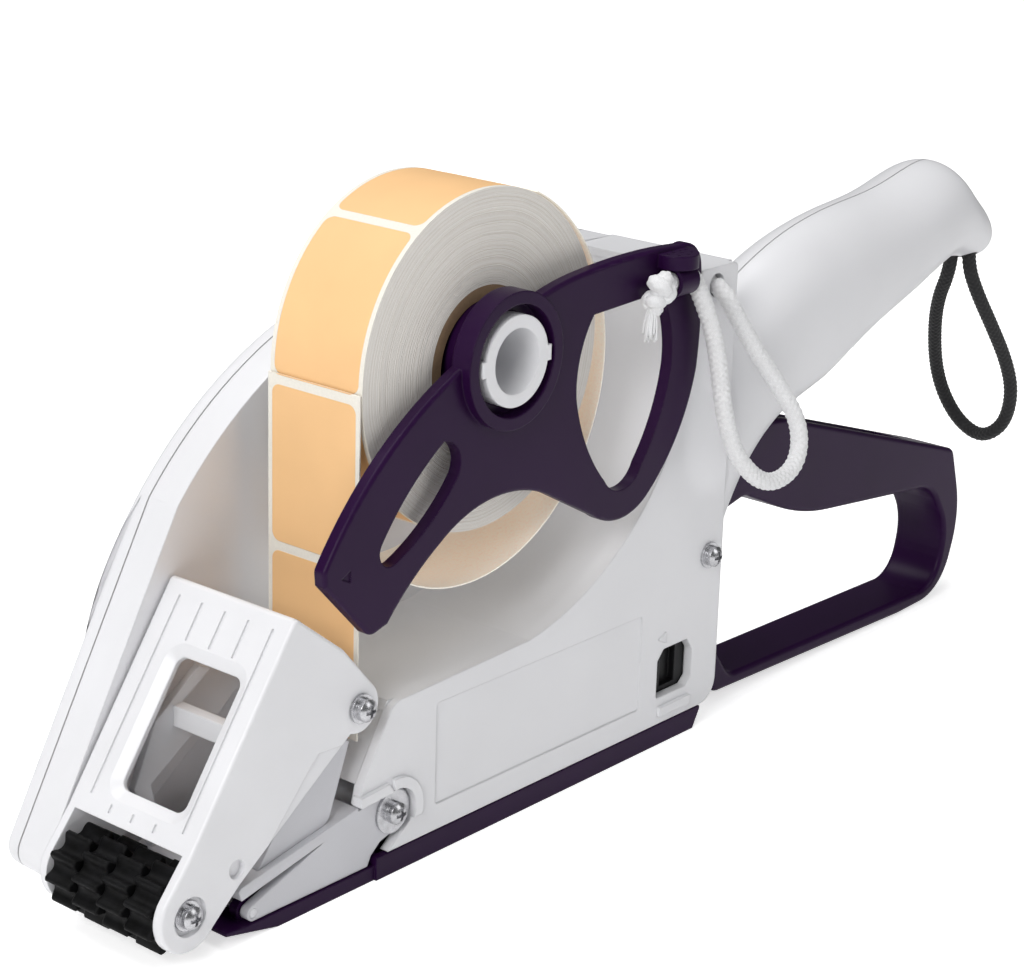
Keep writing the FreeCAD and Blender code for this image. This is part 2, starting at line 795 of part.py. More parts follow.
def retainer():
    """Purple arm that locks the roll on the spool, with its sleeve and ring."""
    low, high = near_out - 3.3, near_out - 0.6
    sleeve_end = D.web_width / 2 - 0.25
    front = low - 2.1
    blade = plate([
        Corner(-13.0, spool_z + 1.2, arc=85),
        Corner(-50.9, spool_z - 31.0, round=2.0),
        Corner(-50.6, spool_z - 34.0),
        Corner(-38.2, spool_z - 47.2, round=2.5),
        Corner(-33.4, spool_z - 45.9, arc=-62),
        Corner(-18.6, spool_z - 33.3, arc=-32),
        Corner(14.5, spool_z - 31.5, arc=None),
        Corner(29.0, spool_z - 39.4, arc=14.5),
        Corner(47.5, spool_z - 38.4, arc=45),
        Corner(62.2, spool_z - 14.0, arc=90),
        Corner(62.2, spool_z + 8.5, arc=6),
        Corner(54.8, spool_z + 13.9, arc=180),
        Corner(22.5, spool_z + 13.4, arc=70),
        Corner(8.0, spool_z + 10.5),
    ], low, high)
    soften_rim(blade, low, 0.8)
    eye = plate([
        Corner(43.0, spool_z + 4.9),
        Corner(26.0, spool_z + 4.2, arc=24),
        Corner(21.3, spool_z - 12.5, arc=40),
        Corner(31.6, spool_z - 32.3, arc=7),
        Corner(44.0, spool_z - 31.3, arc=42),
        Corner(52.6, spool_z - 12.0, arc=24),
        Corner(50.8, spool_z + 0.5, arc=8),
    ], low - 1, high + 1)
    slot = plate([
        Corner(-18.5, spool_z - 12.7, arc=60),
        Corner(-35.7, spool_z - 29.6, arc=3.2),
        Corner(-31.8, spool_z - 34.1, arc=44),
        Corner(-14.2, spool_z - 20.4, arc=5.2),
    ], low - 1, high + 1)
    body = fuse(blade, rod(size(0), spool_z, front, high, D.ring_radius), tether_post(low))
    bore = D.spool_radius + D.run_gap
    ring = rod(size(0), spool_z, front - 1, high - 1.2, D.ring_bore)
    mark = open_arrow(-44.8, spool_z - 33.4, 1.5, low - 1, low + 0.3)
    arm = cut(body, eye, slot, rod(size(0), spool_z, front - 2, high + 1, bore), ring, mark)
    piece("retainer", arm)
    keyway = common(
        rod(size(0), spool_z, high - 1, sleeve_end + 1, D.spool_radius + 1.15),
        turned_block(-15, 15, high - 1, sleeve_end + 1, -1.8, 1.8, -50, size(0), spool_z))
    piece("retainer_sleeve", cut(tube(size(0), spool_z, high, sleeve_end, D.sleeve_radius, bore), keyway))


def turned_block(x_low, x_high, y_low, y_high, z_low, z_high, degrees, x, z):
    """A block turned about an axis along Y through (x, z)."""
    obj = doc.addObject("Part::Box", "Block")
    bind(obj, "Length", size(x_high) - x_low)
    bind(obj, "Width", y_high - y_low)
    bind(obj, "Height", size(z_high) - z_low)
    turn = Rotation(Vector(0, 1, 0), degrees)
    corner = turn.multVec(Vector(size(x_low).value, 0, size(z_low).value))
    return place(obj, x + corner.x, y_low, z + corner.z, turn)


POST_X = 50.8


def tether_post(face):
    """Upright boss on the retainer that the tether is tied to."""
    x, y, top = size(POST_X), face - 1.6, spool_z + 13.4
    bore = D.tether_radius + 0.35
    cap = post(x, y, top - 3.0, top, 4.6)
    eyelet = bar(y - 0.4, top - 5.9, x - 2.6, x + 3.4, 3.3)
    hole = bar(y - 0.4, top - 5.9, x - 4, x + 5, bore)
    dimples = []
    for ring_radius, count in ((1.2, 4), (3.0, 8)):
        for index in range(count):
            angle = 2 * math.pi * index / count
            dimples.append(post(x + ring_radius * math.cos(angle), y + ring_radius * math.sin(angle),
                                top - 0.3, top + 1, 0.35))
    return cut(fuse(cap, eyelet), hole, *dimples)


# ---------------------------------------------------------------- front cover and roller

SLOPE_DX = DIMS["face_foot_reach"] - DIMS["face_top_reach"]
SLOPE_DZ = DIMS["face_top_height"] - DIMS["face_foot_height"]
SLOPE = math.hypot(SLOPE_DX, SLOPE_DZ)
FACE_TURN = Rotation(Vector(0, 1, 0), 180 - math.degrees(math.atan2(SLOPE_DZ, SLOPE_DX)))


def on_face(body):
    """Lay a body on the cover's front face: its X runs down the slope, its Z inward."""
    return place(body, -D.face_top_reach, 0, D.face_top_height, FACE_TURN)


def cover_outline():
    """Side view of the front cover."""
    near_arm = polar(roller_x, roller_z, D.arm_radius, 141.5)
    rear_arm = polar(roller_x, roller_z, D.arm_radius, -37)
    bottom_arm = polar(roller_x, roller_z, D.arm_radius, -120)
    lobe_low = polar(hinge_x, hinge_z, D.lobe_radius, -115)
    lobe_mid = polar(hinge_x, hinge_z, D.lobe_radius, -40)
    lobe_high = polar(hinge_x, hinge_z, D.lobe_radius, 35)
    return [
        Corner(-D.face_top_reach, D.face_top_height, round=1.2),
        Corner(-D.face_foot_reach, D.face_foot_height),
        Corner(*near_arm, arc=D.arm_radius),
        Corner(*bottom_arm, arc=D.arm_radius),
        Corner(*rear_arm),
        Corner(roller_x + 12.6, roller_z + 1.6, round=1.5),
        Corner(*lobe_low, arc=D.lobe_radius),
        Corner(*lobe_mid, arc=D.lobe_radius),
        Corner(*lobe_high),
        Corner(hinge_x - 4.4, hinge_z + 13.2, round=2.5),
    ]


def rounded_rectangle(x_low, x_high, y_low, y_high, radius):
    return [Corner(x, y, round=radius) for x, y in
            ((x_low, y_low), (x_high, y_low), (x_high, y_high), (x_low, y_high))]


def front_cover():
    """Hinged cover that carries the application roller."""
    near = plate(cover_outline(), near_out, near_out + D.near_plate)
    soften_rim(near, near_out, 0.7)
    far = plate(cover_outline(), cover_far - D.far_plate, cover_far)
    dx, dz = D.face_plate * (SLOPE_DZ / SLOPE), D.face_plate * (SLOPE_DX / SLOPE)
    face = plate([
        Corner(-D.face_top_reach, D.face_top_height, round=1.2),
        Corner(-D.face_foot_reach, D.face_foot_height),
        Corner(-D.face_foot_reach + dx, D.face_foot_height - dz),
        Corner(-D.face_top_reach + dx, D.face_top_height - dz),
    ], near_out + 0.8, cover_far)
    solid = fuse(near, far, face)
    start, end = D.window_start, D.window_start + D.window_length
    window = on_face(plate(rounded_rectangle(start, end, -D.window_low, D.window_high, D.window_round),
                           -1, 5, plane="XY"))
    rim = D.window_bevel
    bevel = on_face(plate(
        rounded_rectangle(start - rim, end + rim, -D.window_low - rim, D.window_high + rim,
                          D.window_round + rim), -0.01, 1.2, plane="XY", taper=-62))
    lines = []
    deep, half = 0.35, 0.25
    for y, low, high in ((14.2, 3.3, 44.1), (-11.1, 3.3, 44.1), (8.0, 3.3, 11.0), (1.7, 3.3, 11.0),
                         (-4.6, 3.3, 11.0), (8.0, 44.6, 46.2), (1.9, 44.6, 46.2), (-4.2, 44.6, 46.2)):
        tool = block(size(low), size(high), size(y) - half, size(y) + half, size(-1), size(deep))
        lines.append(face_tool(tool, low, y - half, -1))
    facet = plate([
        Corner(hinge_x - 4.0, hinge_z - 6.4),
        Corner(hinge_x - 11.4, hinge_z - 6.0),
        Corner(roller_x + 17.0, roller_z + 4.0),
        Corner(roller_x + 15.2, roller_z + 2.0),
    ], near_out - 1, near_out + 0.4)
    small_hole = rod(size(-70.2), size(16.4), near_out - 1, near_out + 1.2, 1.9)
    hole = D.hinge_rod + D.run_gap
    cover = cut(solid, window, bevel, facet, small_hole,
                rod(hinge_x, hinge_z, near_out - 1, cover_far + 1, hole),
                rod(roller_x, roller_z, near_out - 1, near_out + 1.2, 3.9),
                rod(roller_x, roller_z, near_out - 1, near_out + D.near_plate + 1, D.screw_radius + 0.1),
                rod(roller_x, roller_z, cover_far - D.far_plate - 1, cover_far + 1, D.axle_radius + 0.02),
                *lines)
    piece("front_cover", cover)


def face_tool(tool, low, y, z):
    """Move a block into the slanted frame of the cover's face."""
    corner = FACE_TURN.multVec(Vector(low, 0, z))
    return place(tool, corner.x - D.face_top_reach, size(y), corner.z + D.face_top_height, FACE_TURN)


WHEELS = 4


def application_roller():
    """Axle, and star wheels of rubber whose lobes alternate."""
    low = near_out + D.near_plate + D.slide_gap
    high = cover_far - D.far_plate - D.slide_gap
    axle_low = near_out + D.near_plate
    piece("roller_axle", cut(rod(roller_x, roller_z, axle_low, cover_far, D.axle_radius),
                             rod(roller_x, roller_z, axle_low - 1, axle_low + 6, D.screw_radius + 0.02)))
    fastened("axle", roller_x, roller_z, near_out + 1.2, 5.0, 3.0)
    pitch = (high - low) / WHEELS
    for index in range(WHEELS):
        start = low + pitch * index
        piece("star_wheel_%d" % (index + 1), star_wheel(start, start + pitch - 0.25, 18.0 * (index % 2)))


def star_wheel(y_low, y_high, phase):
    """A wheel with ten lobes."""
    lobes = 10
    disc = rod(roller_x, roller_z, y_low, y_high, D.roller_radius)
    tools = []
    for index in range(lobes):
        x, z = polar(roller_x, roller_z, D.roller_radius + 0.2, phase + 360.0 * index / lobes)
        tools.append(rod(x, z, y_low - 1, y_high + 1, 1.5))
    tools.append(rod(roller_x, roller_z, y_low - 1, y_high + 1, D.axle_radius + D.run_gap))
    return cut(disc, fuse(*tools))


def cover_hinge():
    """Cross rod that the front cover swings on, with its screw."""
    near_end = near_out - 0.2
    piece("pivot_rod", cut(rod(hinge_x, hinge_z, near_end, far_out, D.hinge_rod),
                           rod(hinge_x, hinge_z, near_end - 1, near_end + 7, D.screw_radius + 0.02)))
    fastened("pivot", hinge_x, hinge_z, near_end, 6.0, 3.0)


# ---------------------------------------------------------------- peel unit

def ramp_height(x):
    """Top of the ramp at a place along X."""
    return peel_z + 6.2 + (size(x) - (peel_x - 3.9)) * 0.18


def arm_outline(end_radius):
    """Side arm of the peel unit, from the wedge screw to the peel pin."""
    tip = 1.6
    return [
        Corner(peel_x, peel_z - tip),
        Corner(-D.tray_front - 1.6, peel_z - tip),
        Corner(-D.tray_front - 0.6, D.wall_base + 0.2),
        Corner(wedge_x - 3.2, wedge_z - 5.6, round=1.0),
        Corner(*polar(wedge_x, wedge_z, end_radius, -50), arc=end_radius),
        Corner(*polar(wedge_x, wedge_z, end_radius, 110)),
        Corner(wedge_x - 9.3, wedge_z + 3.1),
        Corner(*polar(peel_x, peel_z, tip, 110), arc=tip),
    ]


def peel_wedge():
    """Wedge under the front cover: two side arms and the ramp between them."""
    near = plate(arm_outline(5.0), arm_near, arm_far)
    far = plate(arm_outline(5.0), mate_far, mate_far + D.arm_wall)
    ramp = plate([
        Corner(wedge_x - 9.5, ramp_height(wedge_x - 9.5)),
        Corner(peel_x - 3.9, peel_z + 6.2, round=0.8),
        Corner(peel_x - 3.0, peel_z + 3.6),
        Corner(wedge_x - 9.5, ramp_height(wedge_x - 9.5) - 2.0),
    ], arm_near, mate_far + D.arm_wall)
    web = block(wedge_x - 12, wedge_x - 10.4, arm_far - 0.5, mate_far + 0.5,
                peel_z + 0.4, ramp_height(wedge_x - 12) - 1)
    joined = fuse(near, far, ramp, web)
    bore = D.post_radius + D.run_gap
    wedge = cut(joined,
                rod(wedge_x, wedge_z, arm_near - 1, arm_far + 1, D.screw_radius + 0.1),
                rod(wedge_x, wedge_z, mate_far - 1, mate_far + D.arm_wall + 1, bore),
                rod(peel_x, peel_z, arm_near - 1, mate_far + D.arm_wall + 1, D.peel_pin + 0.02))
    piece("peel_wedge", wedge)
    piece("peel_pin", rod(peel_x, peel_z, arm_near, mate_far + D.arm_wall, D.peel_pin))
    fastened("wedge", wedge_x, wedge_z, arm_near, 8.0, 4.6)
    edge = plate([
        Corner(peel_x - 4.2, peel_z + 6.6),
        Corner(peel_x - 4.9, peel_z + 6.4),
        Corner(peel_x - 3.3, peel_z + 3.4),
        Corner(peel_x - 2.7, peel_z + 3.6),
        Corner(peel_x - 3.9 - 0.02, peel_z + 6.2),
    ], arm_far, mate_far)
    piece("peel_plate", cut(edge, block(peel_x - 3.9, peel_x, arm_near, mate_far + 3, 0, 30)))


def guides():
    """Guide plate beside the label path, and the guide frame seen through the window."""
    foot = wedge_x - 16.4
    low, high = near_in + 0.3, near_in + 1.9
    piece("guide_plate", plate([
        Corner(peel_x + 2.6, ramp_height(peel_x + 2.6)),
        Corner(foot, ramp_height(foot), round=3.0),
        Corner(hinge_x - 0.4, hinge_z - 7.6),
        Corner(hinge_x - 4.6, hinge_z - 5.4),
        Corner(hinge_x - 15.5, hinge_z - 14.0),
    ], low, high))
    rails = []
    bar_x, bar_z = hinge_x - 24.5, hinge_z - 4.0
    for y_low in (high + 0.2, size(10.6)):
        rails.append(plate([
            Corner(peel_x - 2.7, ramp_height(peel_x - 2.7)),
            Corner(peel_x + 0.3, ramp_height(peel_x + 0.3)),
            Corner(hinge_x - 30.5, hinge_z - 14.3),
            Corner(hinge_x - 19.5, hinge_z - 7.3),
            Corner(bar_x + 2.6, hinge_z - 3.3),
            Corner(bar_x + 2.6, hinge_z + 0.5),
            Corner(hinge_x - 14.5, hinge_z + 5.1),
            Corner(hinge_x - 17.6, hinge_z + 6.5),
            Corner(hinge_x - 29.1, hinge_z - 1.6),
            Corner(hinge_x - 34.7, hinge_z - 14.1),
        ], y_low, y_low + 1.6))
    cross = block(bar_x, bar_x + 2.6, high + 0.4, size(11.0), bar_z, bar_z + 4.3)
    piece("guide_frame", fuse(cross, *rails))


# ---------------------------------------------------------------- bottom cover

def bottom_cover():
    """Swing-down tray that closes the label path, hinged on the peel pin."""
    tray = plate([
        Corner(-D.tray_front, 0),
        Corner(D.tray_rear, 0),
        Corner(D.tray_rear + 2.4, D.tray_height - 0.6, round=0.5),
        Corner(D.tray_rear + 2.2, D.tray_height),
        Corner(-D.tray_front, D.tray_height),
    ], near_out, cover_far)
    apron = plate([
        Corner(-D.apron_front, D.apron_height - 0.1),
        Corner(-D.apron_front + 13.7, 0),
        Corner(-D.tray_front + 0.5, 0),
        Corner(-D.tray_front + 0.5, D.apron_height),
        Corner(-D.apron_front + 5.1, D.apron_height),
        Corner(-D.apron_front, D.apron_height + 0.6),
    ], near_out + 0.6, cover_far)
    well = block(-D.tray_front + D.tray_wall, D.tray_rear - D.tray_wall,
                 near_out + D.tray_wall, cover_far - D.tray_wall, D.tray_wall, D.tray_height + 1)
    ears = []
    for y_low in (arm_far + 0.3, mate_far - 2.3):
        ears.append(rod(peel_x, peel_z, y_low, y_low + 2.0, 2.2))
        ears.append(block(peel_x - 1.6, peel_x + 1.6, y_low, y_low + 2.0, D.apron_height - 0.5, peel_z))
    brackets = []
    for y_low in (near_in + 1.2, size(14.4)):
        brackets.append(block(feed_x - 3, feed_x + 3, y_low, y_low + 1.6, D.tray_wall - 0.5, pinch_z))
        brackets.append(rod(feed_x, pinch_z, y_low, y_low + 1.6, 3.0))
    tab = block(61.8, 63.4, near_in + 2, near_in + 8, D.tray_wall - 0.5, 9.0)
    solid = fuse(cut(fuse(tray, apron), well), *(ears + brackets + [tab]))
    cover = cut(solid,
                rod(peel_x, peel_z, arm_far, mate_far, D.peel_pin + D.run_gap),
                rod(feed_x, pinch_z, near_in, size(17.5), 1.5 + 0.02))
    piece("bottom_cover", cover)
    axle_low, axle_high = near_in + 1.2, size(16.0)
    piece("pinch_axle", rod(feed_x, pinch_z, axle_low, axle_high, 1.5))
    piece("pinch_roller", tube(feed_x, pinch_z, near_in + 3.2, size(14.0), D.pinch_radius, 1.5 + D.run_gap))


def latch():
    """Slide behind the window that holds the bottom cover."""
    y_low, y_high = near_in + 0.2, near_in + 6.2
    body = fuse(block(59.2, 70.4, y_low, y_high, 10.6, 24.0),
                block(59.2, 61.4, y_low + 2, y_high, 7.4, 11.0))
    finger = block(61.6, 67.0, y_low - 1, y_low + 1.6, 12.6, 21.6)
    piece("latch", cut(body, finger))


def coil(x, y, z, length, radius, wire, turns, rotation):
    """A helical wire: its profile swept along a helix."""
    helix = doc.addObject("Part::Helix", "Helix")
    bind(helix, "Pitch", size(length) / turns)
    bind(helix, "Height", length)
    bind(helix, "Radius", radius)
    place(helix, x, y, z, rotation)
    circle = doc.addObject("Part::Circle", "Wire")
    bind(circle, "Radius", wire)
    start = rotation.multVec(Vector(size(radius).value, 0, 0))
    facing = rotation * Rotation(Vector(1, 0, 0), 90)
    place(circle, x + start.x, y + start.y, z + start.z, facing)
    sweep = doc.addObject("Part::Sweep", "Coil")
    sweep.Sections = [circle]
    doc.recompute()
    sweep.Spine = (helix, ["Edge%d" % (index + 1) for index in range(len(helix.Shape.Edges))])
    sweep.Solid = True
    sweep.Frenet = True
    return sweep


# ---------------------------------------------------------------- lever and drive

def lever_outline():
    """Side view of the lever, anticlockwise from the hub."""
    return [
        Corner(pivot_x - 2.0, pivot_z - D.hub_radius + 0.3),
        Corner(84.5, 47.0, round=7),
        Corner(94.8, 49.2, round=5),
        Corner(119.0, 38.4, round=70),
        Corner(177.0, 32.0, round=12),
        Corner(186.0, 19.0, round=14),
        Corner(182.5, 3.8, round=9),
        Corner(92.3, 5.8, round=5),
        Corner(86.6, 13.2),
        Corner(83.4, 12.4),
        Corner(85.0, 2.8, round=4),
        Corner(166.0, 0.5, round=30),
        Corner(186.0, 1.2, round=14),
        Corner(192.8, 21.5, round=26),
        Corner(186.6, 39.9, round=3),
        Corner(108.3, 64.8, round=14),
        Corner(pivot_x + 8.0, pivot_z + D.hub_radius - 0.1),
        Corner(pivot_x, pivot_z + D.hub_radius - 0.3),
        Corner(pivot_x - 4.0, pivot_z),
    ]


def squeeze_lever():
    """Squeeze lever with its channel open on top, on the lever shaft."""
    low = D.lever_centre - D.lever_width / 2
    high = D.lever_centre + D.lever_width / 2
    blank = plate(lever_outline(), low, high)
    soften_rim(blank, low, 1.2)
    soften_rim(blank, high, 1.2)
    hub = rod(pivot_x, pivot_z, low, high, D.hub_radius)
    channel = plate([
        Corner(84, 52.6, round=2),
        Corner(97, 52.2, round=3),
        Corner(132, 41.4, round=6),
        Corner(166, 37.2, round=2),
        Corner(170, 56),
        Corner(104, 76),
        Corner(84, 76),
    ], low + D.lever_wall, high - D.lever_wall)
    bore = rod(pivot_x, pivot_z, low - 1, high + 1, D.shaft_radius + 0.02)
    piece("lever", cut(fuse(blank, hub), channel, bore))
    shaft_low, shaft_high = near_in + 0.2, gear_high + 1.0
    piece("lever_shaft", rod(pivot_x, pivot_z, shaft_low, shaft_high, D.shaft_radius))
    piece("return_spring", torsion_spring(high + 0.8))


def torsion_spring(y_low):
    """Coil round the lever shaft, between the lever and the far bush."""
    return coil(pivot_x, y_low, pivot_z, size(9.0), D.shaft_radius + 0.9, size(0.45), 6, ALONG_Y)


def involute(angle):
    return math.tan(angle) - angle


def tooth_profile(teeth, centre_angle, module):
    """Half-flanks of one involute tooth as polar points, root to tip and back."""
    pressure, backlash = math.radians(20), 0.12
    pitch = module * teeth / 2
    base, root, tip = pitch * math.cos(pressure), pitch - 1.25 * module, pitch + 0.95 * module
    half = math.pi / (2 * teeth) - backlash / (2 * pitch) + involute(pressure)
    start = max(base, root)
    points = [(root, half - involute(0) if root < base else half)]
    for step in range(5):
        radius = start + (tip - start) * step / 4
        points.append((radius, half - involute(math.acos(min(1.0, base / radius)))))
    rising = [(radius, centre_angle - offset) for radius, offset in points]
    falling = [(radius, centre_angle + offset) for radius, offset in reversed(points)]
    return rising + falling


def gear_face(x, z, y, polar_points):
    """A flat face from polar points about an axis along Y."""
    points = []
    for radius, angle in polar_points:
        spot = Vector(x + radius * math.cos(angle), y, z + radius * math.sin(angle))
        if not points or (spot - points[-1]).Length > 1e-5:
            points.append(spot)
    return Part.Face(Part.makePolygon(points + points[:1]))


def mesh_angle():
    """Direction from the lever shaft to the feed shaft."""
    return math.atan2(feed_z.value - pivot_z.value, feed_x.value - pivot_x.value)


def drive_sector():
    """Toothed sector on the lever shaft."""
    teeth, module = D.sector_teeth.value, D.gear_module.value
    pitch = 2 * math.pi / teeth
    middle = mesh_angle()
    first, last = -7, 3
    points = []
    for index in range(first, last + 1):
        points += tooth_profile(teeth, middle + index * pitch, module)
    inner = module * teeth / 2 - 4.5
    points.append((inner, middle + (last + 0.6) * pitch))
    points.append((inner, middle + (first - 0.6) * pitch))
    face = gear_face(pivot_x.value, pivot_z.value, gear_low.value, points)
    shape = face.extrude(Vector(0, gear_high.value - gear_low.value, 0))
    half = module * 4.2
    direction = middle + (first + last) / 2.0 * pitch
    spread = [(4.5, direction - 1.2), (inner + 1.2, direction - half / inner * 2.2),
              (inner + 1.2, direction + half / inner * 2.2), (4.5, direction + 1.2)]
    arm = gear_face(pivot_x.value, pivot_z.value, gear_low.value, spread)
    arm = arm.extrude(Vector(0, gear_high.value - gear_low.value, 0))
    axis = Vector(0, 1, 0)
    start = Vector(pivot_x.value, gear_low.value, pivot_z.value)
    hub = Part.makeCylinder(D.hub_radius.value, gear_high.value - gear_low.value, start, axis)
    bore = Part.makeCylinder(D.shaft_radius.value, 40, start - axis * 10, axis)
    eased = [Part.makeCylinder(5.0, 40, start - axis * 10 + Vector(
        24 * math.cos(direction), 0, 24 * math.sin(direction)), axis)]
    obj = doc.addObject("Part::Feature", "Sector")
    obj.Shape = shape.fuse([arm, hub]).removeSplitter().cut([bore] + eased)
    piece("drive_sector", obj)


def feed_train():
    """Feed shaft with its pinion, one-way clutch and rubber roller."""
    shaft_low, shaft_high = near_in + 0.2, gear_high + 1.0
    piece("feed_shaft", rod(feed_x, feed_z, shaft_low, shaft_high, D.shaft_radius))
    piece("feed_roller", tube(feed_x, feed_z, near_in + 3.4, size(15.2), D.feed_radius, D.shaft_radius))
    clutch = 5.0
    teeth, module = int(D.pinion_teeth.value), D.gear_module.value
    pitch = 2 * math.pi / teeth
    middle = mesh_angle() + math.pi
    points = []
    for index in range(teeth):
        points += tooth_profile(teeth, middle + (index + 0.5) * pitch, module)
    face = gear_face(feed_x.value, feed_z.value, gear_low.value, points)
    start = Vector(feed_x.value, gear_low.value - 10, feed_z.value)
    bore = Part.makeCylinder(clutch, 40, start, Vector(0, 1, 0))
    obj = doc.addObject("Part::Feature", "Pinion")
    obj.Shape = face.extrude(Vector(0, gear_high.value - gear_low.value, 0)).cut(bore)
    piece("feed_gear", obj)
    piece("one_way_clutch", tube(feed_x, feed_z, gear_low, gear_high, clutch, D.shaft_radius))


def bushes():
    """Plain bushes of the two shafts."""
    for name, x, z in (("lever", pivot_x, pivot_z), ("feed", feed_x, feed_z)):
        bore = D.shaft_radius + D.run_gap
        near = tube(x, z, near_in, near_in + 2.0, D.bush_radius, bore)
        far = tube(x, z, far_in - 0.8, far_out + 0.2, D.bush_radius, bore)
        piece(name + "_bushes", group(near, far))


# ---------------------------------------------------------------- handle

STATIONS = [
    # along X, middle height, half height, share of the half width
    (0.0, 55.4, 30.6, 0.97),
    (6.0, 65.5, 26.6, 0.98),
    (14.0, 74.0, 22.9, 0.99),
    (32.0, 83.6, 21.1, 1.00),
    (51.0, 89.1, 19.8, 1.00),
    (72.0, 95.0, 16.0, 1.00),
    (88.0, 99.6, 14.7, 1.00),
    (99.0, 101.6, 12.7, 0.97),
    (107.0, 98.6, 9.6, 0.91),
    (112.8, 95.6, 7.8, 0.82),
    (115.8, 94.0, 6.0, 0.66),
    (117.2, 93.4, 4.6, 0.46),
]


def handle_body(inset, stations):
    """Loft through elliptical sections, shrunk by the inset."""
    sections = []
    for along, height, half_height, share in stations:
        ring = doc.addObject("Part::Ellipse", "Section")
        tall = size(half_height) - inset
        wide = D.handle_half_width * share - inset
        major, minor = (tall, wide) if tall.value > wide.value else (wide, tall)
        bind(ring, "MajorRadius", major)
        bind(ring, "MinorRadius", minor)
        turn = Rotation(Vector(0, 1, 0), -90) if tall.value > wide.value else \
            Rotation(Vector(0, 1, 0), -90) * Rotation(Vector(0, 0, 1), 90)
        place(ring, D.rear_reach + along, D.handle_centre, size(height), turn)
        sections.append(ring)
    loft = doc.addObject("Part::Loft", "Grip")
    loft.Sections = sections
    loft.Solid = True
    loft.Ruled = False
    return loft


def handle_screw_spots():
    return [(D.rear_reach + 20.0, size(86.0)), (D.rear_reach + 72.0, size(98.0)),
            (D.rear_reach + 98.0, size(100.0))]


def handle():
    """Two handle shells that meet on a middle plane."""
    outer = handle_body(size(0), STATIONS)
    inner = handle_body(D.handle_wall, STATIONS[:-1])
    low = D.lever_centre - D.lever_width / 2 - 0.8
    high = D.lever_centre + D.lever_width / 2 + 0.8
    mouth = plate([
        Corner(D.rear_reach - 1, 20), Corner(150, 20), Corner(150, 76), Corner(D.rear_reach + 30, 78),
        Corner(D.rear_reach - 1, 76),
    ], low, high)
    exit_hole = wrist_exit()
    spots = handle_screw_spots()
    seat = D.handle_centre + D.handle_half_width - 3.5
    for name, y_low, y_high in (("near", D.handle_centre - 30, D.handle_centre),
                                ("far", D.handle_centre, D.handle_centre + 30)):
        side = block(D.rear_reach, D.rear_reach + 160, y_low, y_high, size(20), size(140))
        shell = common(cut(outer, inner), side)
        bosses = [common(rod(x, z, y_low, y_high, 3.4), common(outer, side)) for x, z in spots]
        root = common(block(D.rear_reach, D.rear_reach + 2.0, y_low, y_high, size(20), size(140)), outer)
        tools = [mouth, exit_hole]
        for x, z in spots:
            tools.append(rod(x, z, D.handle_centre - 9, seat + 0.5, D.screw_radius + 0.02))
            tools.append(rod(x, z, seat, seat + 9, D.head_radius + 0.3))
        for y, z in handle_joint_spots():
            tools.append(bar(y, z, D.rear_reach - 1, D.rear_reach + 3, D.screw_radius + 0.02))
        piece("handle_%s_half" % name, cut(fuse(shell, root, *bosses), *tools))
    piece("handle_screws", group(*[screw(x, z, seat, 14.0, 1) for x, z in spots]))
    joints = []
    for y, z in handle_joint_spots():
        joints.append(fuse(bar(y, z, rear_in - 1.6, rear_in, D.head_radius),
                           bar(y, z, rear_in - 0.4, D.rear_reach + 2.0, D.screw_radius)))
    piece("handle_joint_screws", group(*joints))


def wrist_exit():
    """Holes in the handle's underside for the two strands of the wrist cord."""
    holes = []
    for x, y, z in (WRIST[0], WRIST[-1]):
        holes.append(post(size(x), size(y), size(z) - 9, size(z) + 5, D.wrist_radius + 0.3))
    return fuse(*holes)


# ---------------------------------------------------------------- adjusting knob

def stroke_adjuster():
    """Stop block in the slot, with its stud and the black knob outside."""
    x, z = D.slot_front, D.slot_height
    half = D.slot_width / 2 - 0.2
    block_low = gear_low + 1.2
    stop = fuse(block(x - 5, x + 5, block_low, side_in - 0.3, z - 4, z + 4),
                rod(x, z, side_in - 0.5, side_out + 0.1, half),
                rod(x, z, side_out - 0.5, side_out + D.knob_depth - 1.5, D.stud_radius))
    piece("stroke_stop", stop)
    low = side_out + D.side_gap
    high = low + D.knob_depth
    grips = 16
    knob = rod(x, z, low, high, D.knob_radius)
    tools = [rod(x, z, low - 1, low + D.knob_depth - 1.8, D.stud_radius + D.run_gap),
             rod(x, z, high - 0.8, high + 1, D.knob_radius - 2.2)]
    for index in range(grips):
        gx, gz = polar(x, z, D.knob_radius + 0.3, 360.0 * index / grips)
        tools.append(rod(gx, gz, low - 1, high + 1, 0.8))
    piece("stroke_knob", cut(knob, *tools))


def cover_screws():
    piece("side_cover_screws", group(*[
        screw(x, z, side_out - 2.2, 5.5, 1) for x, z in cover_screw_spots()]))


# ---------------------------------------------------------------- cords

TETHER = [
    (56.0, -20.95, 108.7), (59.4, -22.0, 102.0), (62.6, -22.8, 93.8), (63.6, -24.0, 84.0),
    (63.9, -25.5, 76.5), (66.6, -27.4, 67.6), (75.0, -29.6, 60.4), (85.6, -30.0, 62.6),
    (88.4, -28.4, 71.5), (83.6, -24.9, 81.0), (77.6, -22.2, 89.8), (73.0, -20.2, 97.6),
    (71.6, -18.4, 101.8), (72.3, -15.0, 103.4),
]

WRIST = [
    (187.8, -4.4, 91.6), (187.9, -4.5, 86.2), (193.1, 2.0, 74.8), (201.6, 6.5, 59.8),
    (207.0, 7.0, 49.0), (210.1, 3.5, 40.6), (210.9, -2.5, 36.7), (209.6, -8.0, 38.3),
    (210.5, -11.5, 42.7), (209.6, -13.0, 51.1), (205.8, -12.5, 60.1), (199.1, -11.0, 70.6),
    (193.8, -9.2, 79.4), (190.6, -7.8, 86.9), (190.4, -7.8, 91.6),
]


